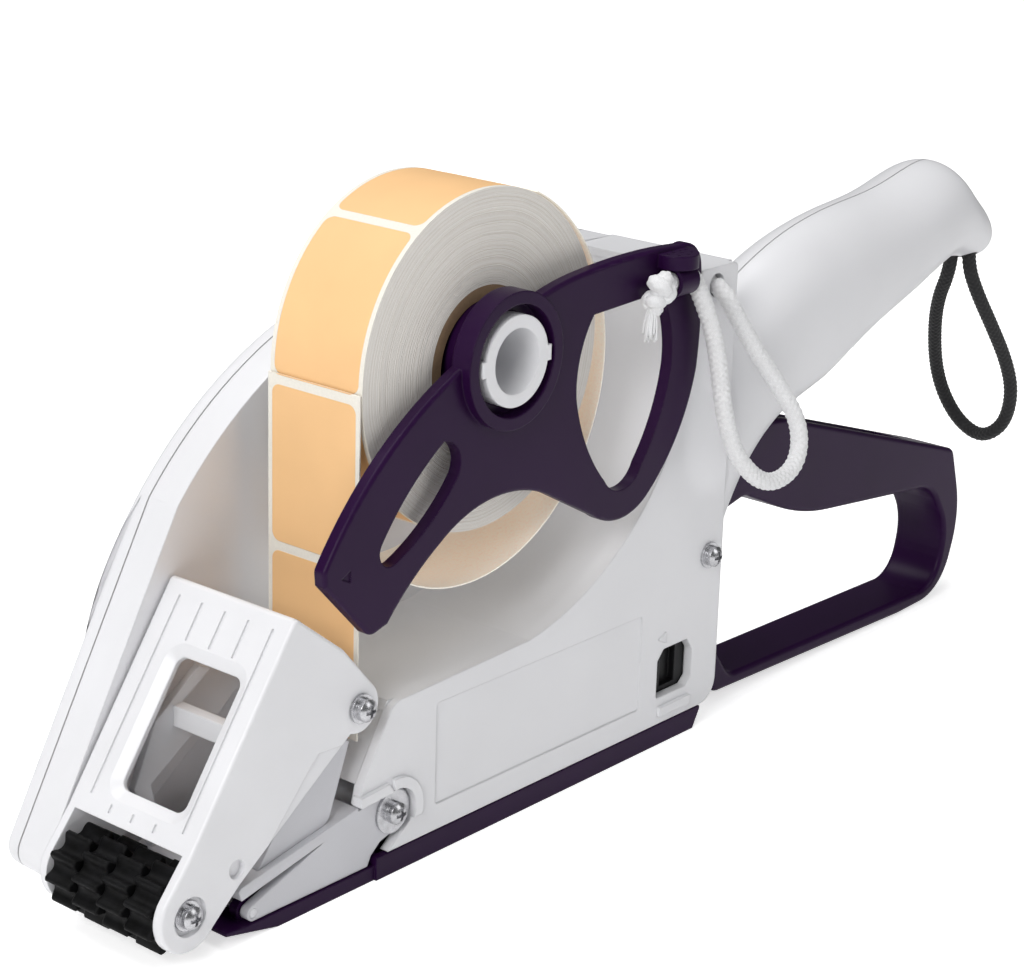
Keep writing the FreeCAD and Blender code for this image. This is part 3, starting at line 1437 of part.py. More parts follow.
def cord_path(points):
    """Straight runs joined by tangent arcs, each as large as its runs allow."""
    spots = [Vector(*point) for point in points]
    edges, radii = [], []
    start = spots[0]
    for before, here, after in zip(spots, spots[1:], spots[2:]):
        back, ahead = before - here, after - here
        turn = math.pi - back.getAngle(ahead)
        radius = 0.45 * min(back.Length, ahead.Length) / math.tan(turn / 2)
        trim = radius * math.tan(turn / 2)
        first = here + Vector(back).normalize() * trim
        last = here + Vector(ahead).normalize() * trim
        inward = (Vector(back).normalize() + Vector(ahead).normalize()).normalize()
        middle = here + inward * (radius / math.cos(turn / 2) - radius)
        edges.append(Part.LineSegment(start, first).toShape())
        edges.append(Part.Arc(first, middle, last).toShape())
        radii.append(radius)
        start = last
    edges.append(Part.LineSegment(start, spots[-1]).toShape())
    return Part.Wire(edges), radii


def cord(label, points, radius):
    """A round cord along a route."""
    path, radii = cord_path(points)
    direction = Vector(*points[1]) - Vector(*points[0])
    profile = Part.Wire([Part.Circle(Vector(*points[0]), direction, radius.value).toShape()])
    shape = path.makePipeShell([profile], True, False)
    expected = math.pi * radius.value ** 2 * path.Length
    print("%s: length %.1f, volume ratio %.4f, radii %s" % (
        label, path.Length, shape.Volume / expected, " ".join("%.1f" % value for value in radii)))
    obj = doc.addObject("Part::Feature", "Cord")
    obj.Shape = shape
    return piece(label, obj)


def cords():
    """White tether of the retainer and black wrist cord of the handle."""
    cord("tether_cord", TETHER, D.tether_radius)
    left = size(POST_X) - 4.0
    blade, knot_z = near_out - 3.3, spool_z + 7.8
    upper, lower, near = size(3.9), size(3.1), 0.25
    knot = fuse(ball(left - near - upper, blade - near - upper, knot_z, upper),
                ball(left - 5.5, blade - near - lower, knot_z - 3.2, lower),
                place_tail(left - 6.6, blade - near - lower, knot_z - 11.2))
    piece("tether_knot", knot)
    end = TETHER[-1]
    inner = ball(size(end[0]), size(end[1]) + 4.8, size(end[2]), size(2.8))
    stem = rod(size(end[0]), size(end[2]), size(end[1]) + 1.1, size(end[1]) + 3.0, D.tether_radius)
    piece("tether_stop", fuse(inner, stem))
    cord("wrist_cord", WRIST, D.wrist_radius)
    x, y = ((WRIST[0][axis] + WRIST[-1][axis]) / 2 + axis for axis in (0, 1))
    reach, low = size(2.5), size(WRIST[0][2]) + 0.25
    knot = ball(size(x), size(y), low + reach / 2, reach)
    below = block(size(x) - reach, size(x) + reach, size(y) - reach, size(y) + reach, low - reach, low)
    piece("wrist_knot", cut(knot, below))


def place_tail(x, y, z_low):
    """Frayed end under the knot, as a short cone."""
    obj = doc.addObject("Part::Cone", "Tail")
    bind(obj, "Radius1", size(2.3))
    bind(obj, "Radius2", size(1.5))
    bind(obj, "Height", size(8.5))
    return place(obj, x, y, z_low)


# ---------------------------------------------------------------- assembly

def build():
    main_frame()
    side_cover()
    cover_screws()
    spool()
    label_roll()
    label_web()
    retainer()
    front_cover()
    application_roller()
    cover_hinge()
    peel_wedge()
    guides()
    bottom_cover()
    latch()
    squeeze_lever()
    drive_sector()
    feed_train()
    bushes()
    handle()
    fastened("rear", size(74.7), size(41.2), near_out, 5.0, 3.0)
    stroke_adjuster()
    cords()
    doc.recompute()


def check():
    """Stop if any object failed or any sub-part has no valid solid."""
    for obj in doc.Objects:
        bad = [state for state in obj.State if state in ("Invalid", "Error")]
        if bad:
            raise RuntimeError("%s (%s) is %s" % (obj.Name, obj.Label, bad))
    for obj in PIECES:
        if obj.Shape.isNull() or not obj.Shape.isValid() or not obj.Shape.Solids:
            raise RuntimeError("%s has no valid solid" % obj.Label)


def export():
    os.makedirs("parts", exist_ok=True)
    for obj in PIECES:
        obj.Shape.exportStep("parts/%s.step" % obj.Label)


build()
check()
export()
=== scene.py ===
import math

import bpy
from mathutils import Matrix, Vector, noise


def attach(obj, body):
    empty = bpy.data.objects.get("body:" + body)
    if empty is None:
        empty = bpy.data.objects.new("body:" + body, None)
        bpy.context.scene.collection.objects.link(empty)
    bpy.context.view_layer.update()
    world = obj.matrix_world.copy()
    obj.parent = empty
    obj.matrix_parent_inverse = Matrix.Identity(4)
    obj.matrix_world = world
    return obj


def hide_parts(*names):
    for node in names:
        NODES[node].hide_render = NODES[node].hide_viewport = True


# Label dispenser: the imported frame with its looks.
# Routes, radii and patterns are in millimetres, and Blender gets them times MM.
# The camera, the floor and the lamps are placed in metres.

MM = 0.001

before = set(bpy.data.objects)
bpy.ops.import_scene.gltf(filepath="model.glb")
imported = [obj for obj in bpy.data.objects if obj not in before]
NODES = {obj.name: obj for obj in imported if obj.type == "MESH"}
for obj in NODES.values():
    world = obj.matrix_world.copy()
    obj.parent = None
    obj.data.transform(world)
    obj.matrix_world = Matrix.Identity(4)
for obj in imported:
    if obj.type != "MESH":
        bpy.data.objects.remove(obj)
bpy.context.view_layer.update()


def add_object(name, data):
    """A new object in the scene."""
    item = bpy.data.objects.new(name, data)
    bpy.context.scene.collection.objects.link(item)
    return item


# ---------------------------------------------------------------- camera

CAMERA_PLACE = (-0.3717, -0.3321, 0.2378)
CAMERA_AZIMUTH, CAMERA_ELEVATION, CAMERA_ROLL = (math.radians(a) for a in (-50.0, 18.5, -1.7))
CAMERA_SENSOR, CAMERA_LENS = 36.0, 91.41
CAMERA_NEAR, CAMERA_FAR = 0.01, 20


def add_camera():
    """A camera at its place, turned about the upright, then tilted, then rolled."""
    azimuth, elevation = CAMERA_AZIMUTH, CAMERA_ELEVATION
    right = Vector((math.cos(azimuth), math.sin(azimuth), 0))
    back = Vector((math.sin(azimuth) * math.cos(elevation),
                   -math.cos(azimuth) * math.cos(elevation), math.sin(elevation)))
    up = back.cross(right)
    cosine, sine = math.cos(CAMERA_ROLL), math.sin(CAMERA_ROLL)
    rows = (cosine * right - sine * up, sine * right + cosine * up, back)
    data = bpy.data.cameras.new("camera")
    data.sensor_width, data.lens = CAMERA_SENSOR, CAMERA_LENS
    data.clip_start, data.clip_end = CAMERA_NEAR, CAMERA_FAR
    camera = add_object("camera", data)
    camera.matrix_world = Matrix.Translation(CAMERA_PLACE) @ Matrix(rows).transposed().to_4x4()
    bpy.context.scene.camera = camera


add_camera()


# ---------------------------------------------------------------- node helpers

# Most values of a noise pattern lie between these two.
NOISE_LOW, NOISE_HIGH = 0.3, 0.7
BEVEL_SAMPLES = 6


class Graph:
    """A material and short ways to add nodes to it."""

    def __init__(self, name):
        self.material = bpy.data.materials.new(name)
        self.material.use_nodes = True
        self.tree = self.material.node_tree
        self.shader = self.tree.nodes["Principled BSDF"]

    def put(self, value, socket):
        """Link a socket, or set a constant."""
        if isinstance(value, bpy.types.NodeSocket):
            self.tree.links.new(value, socket)
        else:
            socket.default_value = value

    def math(self, operation, *values):
        """One step of arithmetic."""
        node = self.tree.nodes.new("ShaderNodeMath")
        node.operation = operation
        for value, socket in zip(values, node.inputs):
            self.put(value, socket)
        return node.outputs[0]

    def hypotenuse(self, first, second):
        """The root of the sum of two squares."""
        return self.math("SQRT", self.math("ADD", self.math("MULTIPLY", first, first),
                                           self.math("MULTIPLY", second, second)))

    def place_mm(self):
        """The point on the object, in millimetres."""
        coordinates = self.tree.nodes.new("ShaderNodeTexCoord")
        node = self.tree.nodes.new("ShaderNodeVectorMath")
        node.operation = "SCALE"
        node.inputs["Scale"].default_value = 1 / MM
        self.put(coordinates.outputs["Object"], node.inputs[0])
        return node.outputs[0]

    def split(self, vector):
        """The three parts of a vector."""
        node = self.tree.nodes.new("ShaderNodeSeparateXYZ")
        self.put(vector, node.inputs[0])
        return tuple(node.outputs)

    def vector(self, x, y, z):
        """A vector from its three parts."""
        node = self.tree.nodes.new("ShaderNodeCombineXYZ")
        for value, socket in zip((x, y, z), node.inputs):
            self.put(value, socket)
        return node.outputs[0]

    def noise(self, vector, scale, detail=2.0, roughness=0.5):
        """A noise pattern; scale is in cycles per millimetre."""
        node = self.tree.nodes.new("ShaderNodeTexNoise")
        self.put(vector, node.inputs["Vector"])
        self.put(scale, node.inputs["Scale"])
        self.put(detail, node.inputs["Detail"])
        self.put(roughness, node.inputs["Roughness"])
        return node.outputs["Fac"]

    def remap(self, value, low, high, to_low, to_high):
        """One range stretched to another, and held at its ends."""
        node = self.tree.nodes.new("ShaderNodeMapRange")
        for number, socket in zip((value, low, high, to_low, to_high), node.inputs):
            self.put(number, socket)
        return node.outputs[0]

    def spread(self, pattern, to_low=0, to_high=1):
        """A noise pattern's usual range, stretched to another."""
        return self.remap(pattern, NOISE_LOW, NOISE_HIGH, to_low, to_high)

    def mix(self, factor, first, second):
        """The first colour at 0, the second at 1."""
        node = self.tree.nodes.new("ShaderNodeMix")
        node.data_type = "RGBA"
        self.put(factor, node.inputs["Factor"])
        self.put(first, node.inputs[6])
        self.put(second, node.inputs[7])
        return node.outputs[2]

    def varied(self, pattern, colour, darker, lighter):
        """A colour that goes from darker to lighter with a noise pattern."""
        return self.mix(self.spread(pattern), shade(colour, darker), shade(colour, lighter))

    def bevel(self, radius_mm):
        """A normal that rounds edges."""
        node = self.tree.nodes.new("ShaderNodeBevel")
        node.samples = BEVEL_SAMPLES
        node.inputs["Radius"].default_value = radius_mm * MM
        return node.outputs[0]

    def bump(self, height_mm, strength=1.0, normal=None):
        """A normal from a height in millimetres."""
        node = self.tree.nodes.new("ShaderNodeBump")
        node.inputs["Strength"].default_value = strength
        node.inputs["Distance"].default_value = MM
        self.put(height_mm, node.inputs["Height"])
        if normal is not None:
            self.put(normal, node.inputs["Normal"])
        return node.outputs[0]

    def relief(self, pattern, depth_mm, strength=1.0, normal=None):
        """A normal from a pattern that runs from 0 to 1 and is depth_mm deep."""
        return self.bump(self.math("MULTIPLY", pattern, depth_mm), strength, normal)

    def finish(self, colour, roughness, normal=None, **constants):
        """The material, with its shader's inputs set; a name's underscores stand for spaces."""
        self.put(colour, self.shader.inputs["Base Color"])
        self.put(roughness, self.shader.inputs["Roughness"])
        if normal is not None:
            self.put(normal, self.shader.inputs["Normal"])
        for name, value in constants.items():
            self.shader.inputs[name.replace("_", " ")].default_value = value
        return self.material


def shade(colour, factor):
    """A colour made darker or lighter."""
    return tuple(min(1.0, channel * factor) for channel in colour[:3]) + (1.0,)


# ---------------------------------------------------------------- plastic, rubber and metal

WHITE = (0.80, 0.80, 0.82, 1)
GREY = (0.60, 0.60, 0.63, 1)
PURPLE = (0.019, 0.003, 0.032, 1)
BLACK = (0.008, 0.008, 0.009, 1)
DEEP_BLACK = (0.003, 0.003, 0.003, 1)
NYLON = (0.72, 0.70, 0.62, 1)
ZINC = (0.58, 0.58, 0.60, 1)
STEEL = (0.62, 0.62, 0.64, 1)

GRAIN_SIZE, GRAIN_DEPTH = 0.35, 0.004
RUBBER_GRAIN_DEPTH, BRUSH_DEPTH = 0.02, 0.012
PLASTIC_EDGE, SHELL_EDGE, RUBBER_EDGE, METAL_EDGE = 0.45, 0.5, 0.7, 0.2

# Half the width of a parting groove's floor and of its mouth, and its depth.
SEAM_FLOOR, SEAM_MOUTH, SEAM_DEPTH = 0.05, 0.22, 0.15
# Where along Y the cover meets the housing, and where the handle's halves meet.
HOUSING_SEAM, HANDLE_SEAM = 27.0, -2.0


def moulded(name, colour, roughness, grain_size=GRAIN_SIZE, grain_depth=GRAIN_DEPTH, mottle=0.03,
            specular=0.5):
    """Moulded plastic: fine spark-eroded grain, soft edges, a little mottling."""
    graph = Graph(name)
    place = graph.place_mm()
    fine = graph.noise(place, 1 / grain_size, detail=3.0, roughness=0.6)
    broad = graph.noise(place, scale=0.045)
    flow = graph.noise(place, scale=0.012, detail=1.0)
    tint = graph.varied(broad, colour, 1 - mottle, 1 + mottle)
    gloss = graph.math("ADD", graph.spread(flow, roughness - 0.03, roughness + 0.03),
                       graph.spread(fine, -0.02, 0.02))
    normal = graph.relief(fine, grain_depth, normal=graph.bevel(PLASTIC_EDGE))
    return graph.finish(tint, gloss, normal, Specular_IOR_Level=specular)


def shell_plastic(name, colour, roughness, seam_y, seam_shade):
    """Moulded plastic with a dark parting groove where two shells meet."""
    graph = Graph(name)
    place = graph.place_mm()
    _, y, _ = graph.split(place)
    fine = graph.noise(place, 1 / GRAIN_SIZE, detail=3.0, roughness=0.6)
    broad = graph.noise(place, scale=0.03)
    off = graph.math("ABSOLUTE", graph.math("SUBTRACT", y, seam_y))
    groove = graph.remap(off, SEAM_FLOOR, SEAM_MOUTH, 1, 0)
    tint = graph.mix(groove, graph.varied(broad, colour, 0.97, 1.02), shade(colour, seam_shade))
    gloss = graph.spread(fine, roughness - 0.02, roughness + 0.02)
    height = graph.math("SUBTRACT", graph.math("MULTIPLY", fine, GRAIN_DEPTH),
                        graph.math("MULTIPLY", groove, SEAM_DEPTH))
    return graph.finish(tint, gloss, graph.bump(height, normal=graph.bevel(SHELL_EDGE)))


def rubber(name):
    """Black rubber with a dull bloom and moulding marks."""
    graph = Graph(name)
    place = graph.place_mm()
    fine = graph.noise(place, scale=3.2, detail=4.0, roughness=0.7)
    bloom = graph.noise(place, scale=0.35)
    tint = graph.mix(graph.remap(bloom, 0.35, 0.7, 0, 1), DEEP_BLACK, BLACK)
    normal = graph.relief(fine, RUBBER_GRAIN_DEPTH, normal=graph.bevel(RUBBER_EDGE))
    return graph.finish(tint, graph.spread(fine, 0.42, 0.6), normal, Specular_IOR_Level=0.12)


def metal(name, colour, roughness):
    """Plated or ground steel with turning marks."""
    graph = Graph(name)
    place = graph.place_mm()
    x, y, z = graph.split(place)
    drawn_out = graph.vector(graph.math("MULTIPLY", x, 6.0), graph.math("MULTIPLY", y, 1.5),
                             graph.math("MULTIPLY", z, 6.0))
    streaks = graph.noise(drawn_out, scale=1.0, detail=3.0, roughness=0.7)
    stain = graph.noise(place, scale=0.6)
    tint = graph.varied(stain, colour, 0.88, 1.06)
    gloss = graph.spread(streaks, roughness - 0.05, roughness + 0.07)
    normal = graph.relief(streaks, BRUSH_DEPTH, 0.6, graph.bevel(METAL_EDGE))
    return graph.finish(tint, gloss, normal, Metallic=1.0)


# ---------------------------------------------------------------- labels, paper and yarn

PEACH = (0.92, 0.57, 0.275, 1)
LINER = (0.86, 0.82, 0.74, 1)
CARD = (0.30, 0.20, 0.12, 1)
LAYER_PALE, LAYER_LINE, LAYER_BAND = (0.95, 0.92, 0.88, 1), (0.74, 0.68, 0.60, 1), (0.93, 0.91, 0.87, 1)
WHITE_YARN = (0.86, 0.86, 0.87, 1)
BLACK_YARN = (0.011, 0.011, 0.012, 1)

ROLL_Z, ROLL_RADIUS = 99.9, 34.5
# The strip hangs just in front of the roll; what lies before its middle is its front.
WEB_CLEARANCE, WEB_THICKNESS = 0.3, 0.3
WEB_MIDDLE = -(ROLL_RADIUS + WEB_CLEARANCE + WEB_THICKNESS / 2)

LABEL_PITCH, LABEL_WIDE, LABEL_LONG, LABEL_ROUND = 35.4, 22.2, 33.4, 2.0
# Half the width of the change from label to liner.
LABEL_BLUR = 0.07
LABEL_THICKNESS, FIBRE_DEPTH = 0.10, 0.01
# A gap between labels lies this far along the web, upwards from the level of the roll's axis.
LABEL_GAP = -1.2
# The strip's labels are drawn shorter by this factor, to match the photograph.
STRIP_SQUEEZE = 1.05
# How far the roll's layers wander, the depth between them, and where its sides turn into its rim.
LAYER_WANDER, LAYER_DEPTH, RIM_FROM, RIM_TO = 1.6, 0.12, 0.10, 0.04
LABEL_ROUGHNESS, LABEL_SPECULAR, PAPER_STRENGTH = 0.62, 0.35, 0.8


def label_mask(graph, across, along):
    """1 on a label, 0 on the liner round it, from the distance to a rounded oblong."""
    wrapped = graph.math("FLOORED_MODULO", graph.math("SUBTRACT", along, LABEL_GAP), LABEL_PITCH)
    centred = graph.math("ABSOLUTE", graph.math("SUBTRACT", wrapped, LABEL_PITCH / 2))
    past_side = graph.math("SUBTRACT", graph.math("ABSOLUTE", across), LABEL_WIDE / 2 - LABEL_ROUND)
    past_end = graph.math("SUBTRACT", centred, LABEL_LONG / 2 - LABEL_ROUND)
    corner = graph.hypotenuse(graph.math("MAXIMUM", past_side, 0.0), graph.math("MAXIMUM", past_end, 0.0))
    inside = graph.math("MINIMUM", graph.math("MAXIMUM", past_side, past_end), 0.0)
    distance = graph.math("SUBTRACT", graph.math("ADD", corner, inside), LABEL_ROUND)
    return graph.remap(distance, -LABEL_BLUR, LABEL_BLUR, 1, 0)


def label_colour(graph, place, mask):
    """Peach label stock on a cream liner, with paper fibre."""
    fibre = graph.noise(place, scale=1.7, detail=4.0, roughness=0.7)
    cloud = graph.noise(place, scale=0.06)
    peach = graph.varied(cloud, PEACH, 0.97, 1.03)
    liner = graph.varied(fibre, LINER, 0.97, 1.04)
    return graph.mix(mask, liner, peach), fibre


def label_height(graph, mask, fibre):
    """Labels stand up from the liner by their thickness, and both have fibre."""
    return graph.math("ADD", graph.math("MULTIPLY", mask, LABEL_THICKNESS),
                      graph.math("MULTIPLY", fibre, FIBRE_DEPTH))


def label_finish(graph, colour, height):
    """The sheen and relief that all labels share."""
    return graph.finish(colour, LABEL_ROUGHNESS, graph.bump(height, PAPER_STRENGTH),
                        Specular_IOR_Level=LABEL_SPECULAR)


def wound_labels(name):
    """Labels round the roll's rim, and the edges of its layers on the sides."""
    graph = Graph(name)
    place = graph.place_mm()
    x, y, z = graph.split(place)
    up = graph.math("SUBTRACT", z, ROLL_Z)
    radius = graph.hypotenuse(x, up)
    angle = graph.math("ARCTAN2", up, graph.math("MULTIPLY", x, -1.0))
    mask = label_mask(graph, y, graph.math("MULTIPLY", angle, ROLL_RADIUS))
    rim_colour, fibre = label_colour(graph, place, mask)
    wander = graph.noise(place, scale=0.05)
    layer = graph.math("ADD", radius, graph.math("MULTIPLY", wander, LAYER_WANDER))
    fine = graph.noise(graph.vector(layer, 0.0, 0.0), scale=4.6, roughness=0.6)
    coarse = graph.noise(graph.vector(layer, 7.0, 0.0), scale=0.85, roughness=0.6)
    line = graph.remap(fine, 0.42, 0.62, 0, 1)
    band = graph.remap(coarse, 0.45, 0.7, 0, 0.5)
    side = graph.mix(band, graph.mix(line, LAYER_PALE, LAYER_LINE), LAYER_BAND)
    on_rim = graph.remap(radius, ROLL_RADIUS - RIM_FROM, ROLL_RADIUS - RIM_TO, 0, 1)
    height = graph.mix(on_rim, graph.math("MULTIPLY", line, -LAYER_DEPTH), label_height(graph, mask, fibre))
    return label_finish(graph, graph.mix(on_rim, side, rim_colour), height)


def web_labels(name):
    """Labels on the front of the strip, plain liner behind."""
    graph = Graph(name)
    place = graph.place_mm()
    x, y, z = graph.split(place)
    along = graph.math("MULTIPLY", graph.math("SUBTRACT", z, ROLL_Z), STRIP_SQUEEZE)
    in_front = graph.math("LESS_THAN", x, WEB_MIDDLE)
    front_mask = graph.math("MULTIPLY", label_mask(graph, y, along), in_front)
    colour, fibre = label_colour(graph, place, front_mask)
    return label_finish(graph, colour, label_height(graph, front_mask, fibre))


def paper(name, colour, depth_mm, scale, glow=0.0):
    """Plain paper or card with fibre; glow is painted light, an emission that lightens the paper where it
    stands in shade.
    """
    graph = Graph(name)
    fibre = graph.noise(graph.place_mm(), scale, detail=5.0, roughness=0.7)
    tint = graph.varied(fibre, colour, 0.88, 1.08)
    return graph.finish(tint, 0.7, graph.relief(fibre, depth_mm, PAPER_STRENGTH),
                        Specular_IOR_Level=0.3, Emission_Color=colour, Emission_Strength=glow)


def braid_yarn(name, colour, sheen):
    """Yarn of the cords: fine filaments, soft sheen."""
    graph = Graph(name)
    filament = graph.noise(graph.place_mm(), scale=5.5, detail=4.0, roughness=0.75)
    tint = graph.varied(filament, colour, 0.82, 1.06)
    return graph.finish(tint, 0.75, graph.relief(filament, 0.06, 0.9),
                        Sheen_Weight=sheen, Sheen_Roughness=0.5)


# ---------------------------------------------------------------- finish of each node

STAR_WHEELS = ("star_wheel_1", "star_wheel_2", "star_wheel_3", "star_wheel_4")

white_plastic = moulded("white_plastic", WHITE, 0.36)
white_housing = shell_plastic("white_housing", WHITE, 0.36, HOUSING_SEAM, seam_shade=0.62)
white_handle = shell_plastic("white_handle", WHITE, 0.36, HANDLE_SEAM, seam_shade=0.82)
grey_plastic = moulded("grey_plastic", GREY, 0.40)
purple_plastic = moulded("purple_plastic", PURPLE, 0.36, grain_size=0.30, grain_depth=0.006,
                         mottle=0.08, specular=0.14)
black_plastic = moulded("black_plastic", BLACK, 0.38, mottle=0.1, specular=0.3)
nylon = moulded("nylon", NYLON, 0.42)
black_rubber = rubber("black_rubber")
zinc = metal("zinc_plate", ZINC, 0.27)
ground_steel = metal("ground_steel", STEEL, 0.30)
white_yarn = braid_yarn("white_yarn", WHITE_YARN, sheen=0.4)
black_yarn = braid_yarn("black_yarn", BLACK_YARN, sheen=0.15)

FINISHES = {
    white_housing: ("main_frame", "side_cover"),
    white_handle: ("handle_near_half", "handle_far_half"),
    white_plastic: ("front_cover", "spool_tube", "guide_frame"),
    grey_plastic: ("guide_plate", "peel_wedge"),
    purple_plastic: ("retainer", "retainer_sleeve", "lever", "bottom_cover"),
    black_plastic: ("latch", "stroke_knob"),
    nylon: ("drive_sector", "feed_gear", "stroke_stop", "lever_bushes", "feed_bushes"),
    black_rubber: STAR_WHEELS + ("feed_roller", "pinch_roller"),
    zinc: ("side_cover_screws", "spool_screws", "pivot_screw", "pivot_washers", "wedge_screw",
           "wedge_washers", "rear_screw", "rear_washers", "handle_screws", "handle_joint_screws",
           "axle_screw", "axle_washers"),
    ground_steel: ("pivot_rod", "peel_plate", "peel_pin", "lever_shaft", "feed_shaft",
                   "one_way_clutch", "roller_axle", "pinch_axle", "return_spring"),
    wound_labels("wound_labels"): ("label_roll",),
    web_labels("web_labels"): ("label_web",),
    # The loose turn's liner glows: painted light that lightens its shaded inside under the roll.
    paper("liner_paper", LINER, depth_mm=0.02, scale=1.7, glow=0.22): ("loose_wrap",),
    paper("card_core", CARD, depth_mm=0.06, scale=0.9): ("roll_core",),
    white_yarn: ("tether_stop",),
    black_yarn: ("wrist_knot",),
}


def dress(node, material):
    """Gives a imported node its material."""
    mesh = NODES[node].data
    mesh.materials.clear()
    mesh.materials.append(material)


for material, names in FINISHES.items():
    for name in names:
        dress(name, material)


# ---------------------------------------------------------------- cords

TETHER_ROUTE = [
    (56.0, -20.95, 108.7), (59.4, -22.0, 102.0), (62.6, -22.8, 93.8), (63.6, -24.0, 84.0),
    (63.9, -25.5, 76.5), (66.6, -27.4, 67.6), (75.0, -29.6, 60.4), (85.6, -30.0, 62.6),
    (88.4, -28.4, 71.5), (83.6, -24.9, 81.0), (77.6, -22.2, 89.8), (73.0, -20.2, 97.6),
    (71.6, -18.4, 101.8), (72.3, -15.0, 103.4),
]
# The end that passes through the retainer's eyelet, between the tether and its outer knot.
THROUGH_ROUTE = [(45.0, -21.6, 109.3), (48.0, -20.7, 109.1), (54.0, -20.6, 109.1), (56.4, -20.9, 108.6)]
WRIST_ROUTE = [
    (187.8, -4.4, 91.6), (187.9, -4.5, 86.2), (193.1, 2.0, 74.8), (201.6, 6.5, 59.8),
    (207.0, 7.0, 49.0), (210.1, 3.5, 40.6), (210.9, -2.5, 36.7), (209.6, -8.0, 38.3),
    (210.5, -11.5, 42.7), (209.6, -13.0, 51.1), (205.8, -12.5, 60.1), (199.1, -11.0, 70.6),
    (193.8, -9.2, 79.4), (190.6, -7.8, 86.9), (190.4, -7.8, 91.6),
]
TETHER_DIAMETER, WRIST_DIAMETER = 4.0, 3.6
THROUGH_DIAMETER = TETHER_DIAMETER * 0.95
SPLINE_STEPS, SPLINE_ORDER = 24, 3

# Each knot's middle, size, turn about the upright and tilt in degrees, and its yarn's diameter.
UPPER_KNOT = ((42.65, -22.75, 109.4), 2.1, 20, 70, 3.5)
LOWER_KNOT = ((41.3, -21.95, 106.2), 1.5, 80, 60, 3.0)
KNOT_POINTS, KNOT_DEPTH = 18, 1.4

TAIL_TOP, TAIL_FOOT, TAIL_SPREAD = (40.6, -21.95, 105.4), (40.2, -22.1, 99.0), 1.9
TAIL_FIBRES, FIBRE_DIAMETER, GOLDEN_ANGLE = 26, 0.55, 2.39996
# Shares of the tail's spread along Y and at its root; its uneven ends and its belly, in millimetres.
TAIL_FLATNESS, TAIL_ROOT, TAIL_UNEVEN, TAIL_BELLY = 0.7, 0.35, 1.6, 0.5


def centreline(route_mm, closed=False):
    """Points along a smooth NURBS line that has the route as its control points."""
    curve = bpy.data.curves.new("line", "CURVE")
    curve.dimensions, curve.resolution_u = "3D", SPLINE_STEPS
    spline = curve.splines.new("NURBS")
    spline.points.add(len(route_mm) - 1)
    for point, place in zip(spline.points, route_mm):
        point.co = (*(value * MM for value in place), 1)
    spline.use_cyclic_u = closed
    spline.order_u = SPLINE_ORDER
    spline.use_endpoint_u = not closed
    line = bpy.data.objects.new("line", curve)
    mesh = bpy.data.meshes.new_from_object(line)
    points = [vertex.co.copy() for vertex in mesh.vertices]
    bpy.data.meshes.remove(mesh)
    bpy.data.objects.remove(line)
    bpy.data.curves.remove(curve)
    return points


def step_lengths(points):
    """The length of each step of a line."""
    return [(after - before).length for before, after in zip(points, points[1:])]


def evenly(points, step):
    """The same line in equal steps, with the direction at each, and its length."""
    lengths = step_lengths(points)
    total = sum(lengths)
    count = max(2, round(total / step))
    found, index, passed = [], 0, 0.0
    for number in range(count + 1):
        wanted = total * number / count
        while index < len(lengths) - 1 and passed + lengths[index] < wanted:
            passed += lengths[index]
            index += 1
        share = (wanted - passed) / lengths[index]
        found.append(points[index].lerp(points[index + 1], min(1.0, share)))
    ahead = [after - before for before, after in zip(found, found[1:])]
    along = [ahead[0]] + [a + b for a, b in zip(ahead, ahead[1:])] + [ahead[-1]]
    return found, [direction.normalized() for direction in along], total


def braid_height(turn, length_mm, carriers, lay_mm):
    """Relief of a braid from 0 to 1: two sets of yarns that pass over and under each other."""
    first = carriers * turn + length_mm / lay_mm
    second = carriers * turn - length_mm / lay_mm
    over = (math.floor(first) + math.floor(second)) % 2 == 0
    across = (first if over else second) % 1.0
    along = (second if over else first) % 1.0
    ridge = math.sqrt(max(0.0, 1 - (2 * across - 1) ** 2))
    return ridge * (0.55 + 0.45 * math.sin(math.pi * along))


def braided_tube(name, points, diameter_mm, material, carriers=6, lay_mm=1.5, relief=0.16,
                 step_mm=0.22, around=60):
    """A mesh tube along a line with a braid's relief in its surface."""
    places, directions, total = evenly(points, step_mm * MM)
    side = directions[0].orthogonal().normalized()
    radius = diameter_mm / 2
    vertices, faces = [], []
    for row, (place, direction) in enumerate(zip(places, directions)):
        side = (side - direction * side.dot(direction)).normalized()
        other = direction.cross(side)
        length_mm = row / (len(places) - 1) * total / MM
        for spoke in range(around):
            turn = spoke / around
            relief_here = braid_height(turn, length_mm, carriers, lay_mm) - 1
            reach = radius * (1 + relief * relief_here) * MM
            angle = 2 * math.pi * turn
            vertices.append(place + reach * (math.cos(angle) * side + math.sin(angle) * other))
    for row in range(len(places) - 1):
        for spoke in range(around):
            following = (spoke + 1) % around
            low, high = row * around, (row + 1) * around
            faces.append((low + spoke, low + following, high + following, high + spoke))
    faces.append(tuple(reversed(range(around))))
    faces.append(tuple(range((len(places) - 1) * around, len(places) * around)))
    mesh = bpy.data.meshes.new(name)
    mesh.from_pydata(vertices, [], faces)
    mesh.shade_smooth()
    mesh.materials.append(material)
    return add_object(name, mesh)


def knot_line(centre_mm, size_mm, turn_degrees, tilt_degrees):
    """Control points of an overhand knot's closed trefoil."""
    rotation = Matrix.Rotation(math.radians(turn_degrees), 3, "Z") @ \
        Matrix.Rotation(math.radians(tilt_degrees), 3, "X")
    found = []
    for index in range(KNOT_POINTS):
        t = 2 * math.pi * index / KNOT_POINTS
        shape = Vector((math.sin(t) + 2 * math.sin(2 * t), math.cos(t) - 2 * math.cos(2 * t),
                        -KNOT_DEPTH * math.sin(3 * t))) / 3
        found.append(Vector(centre_mm) + rotation @ (shape * size_mm))
    return found


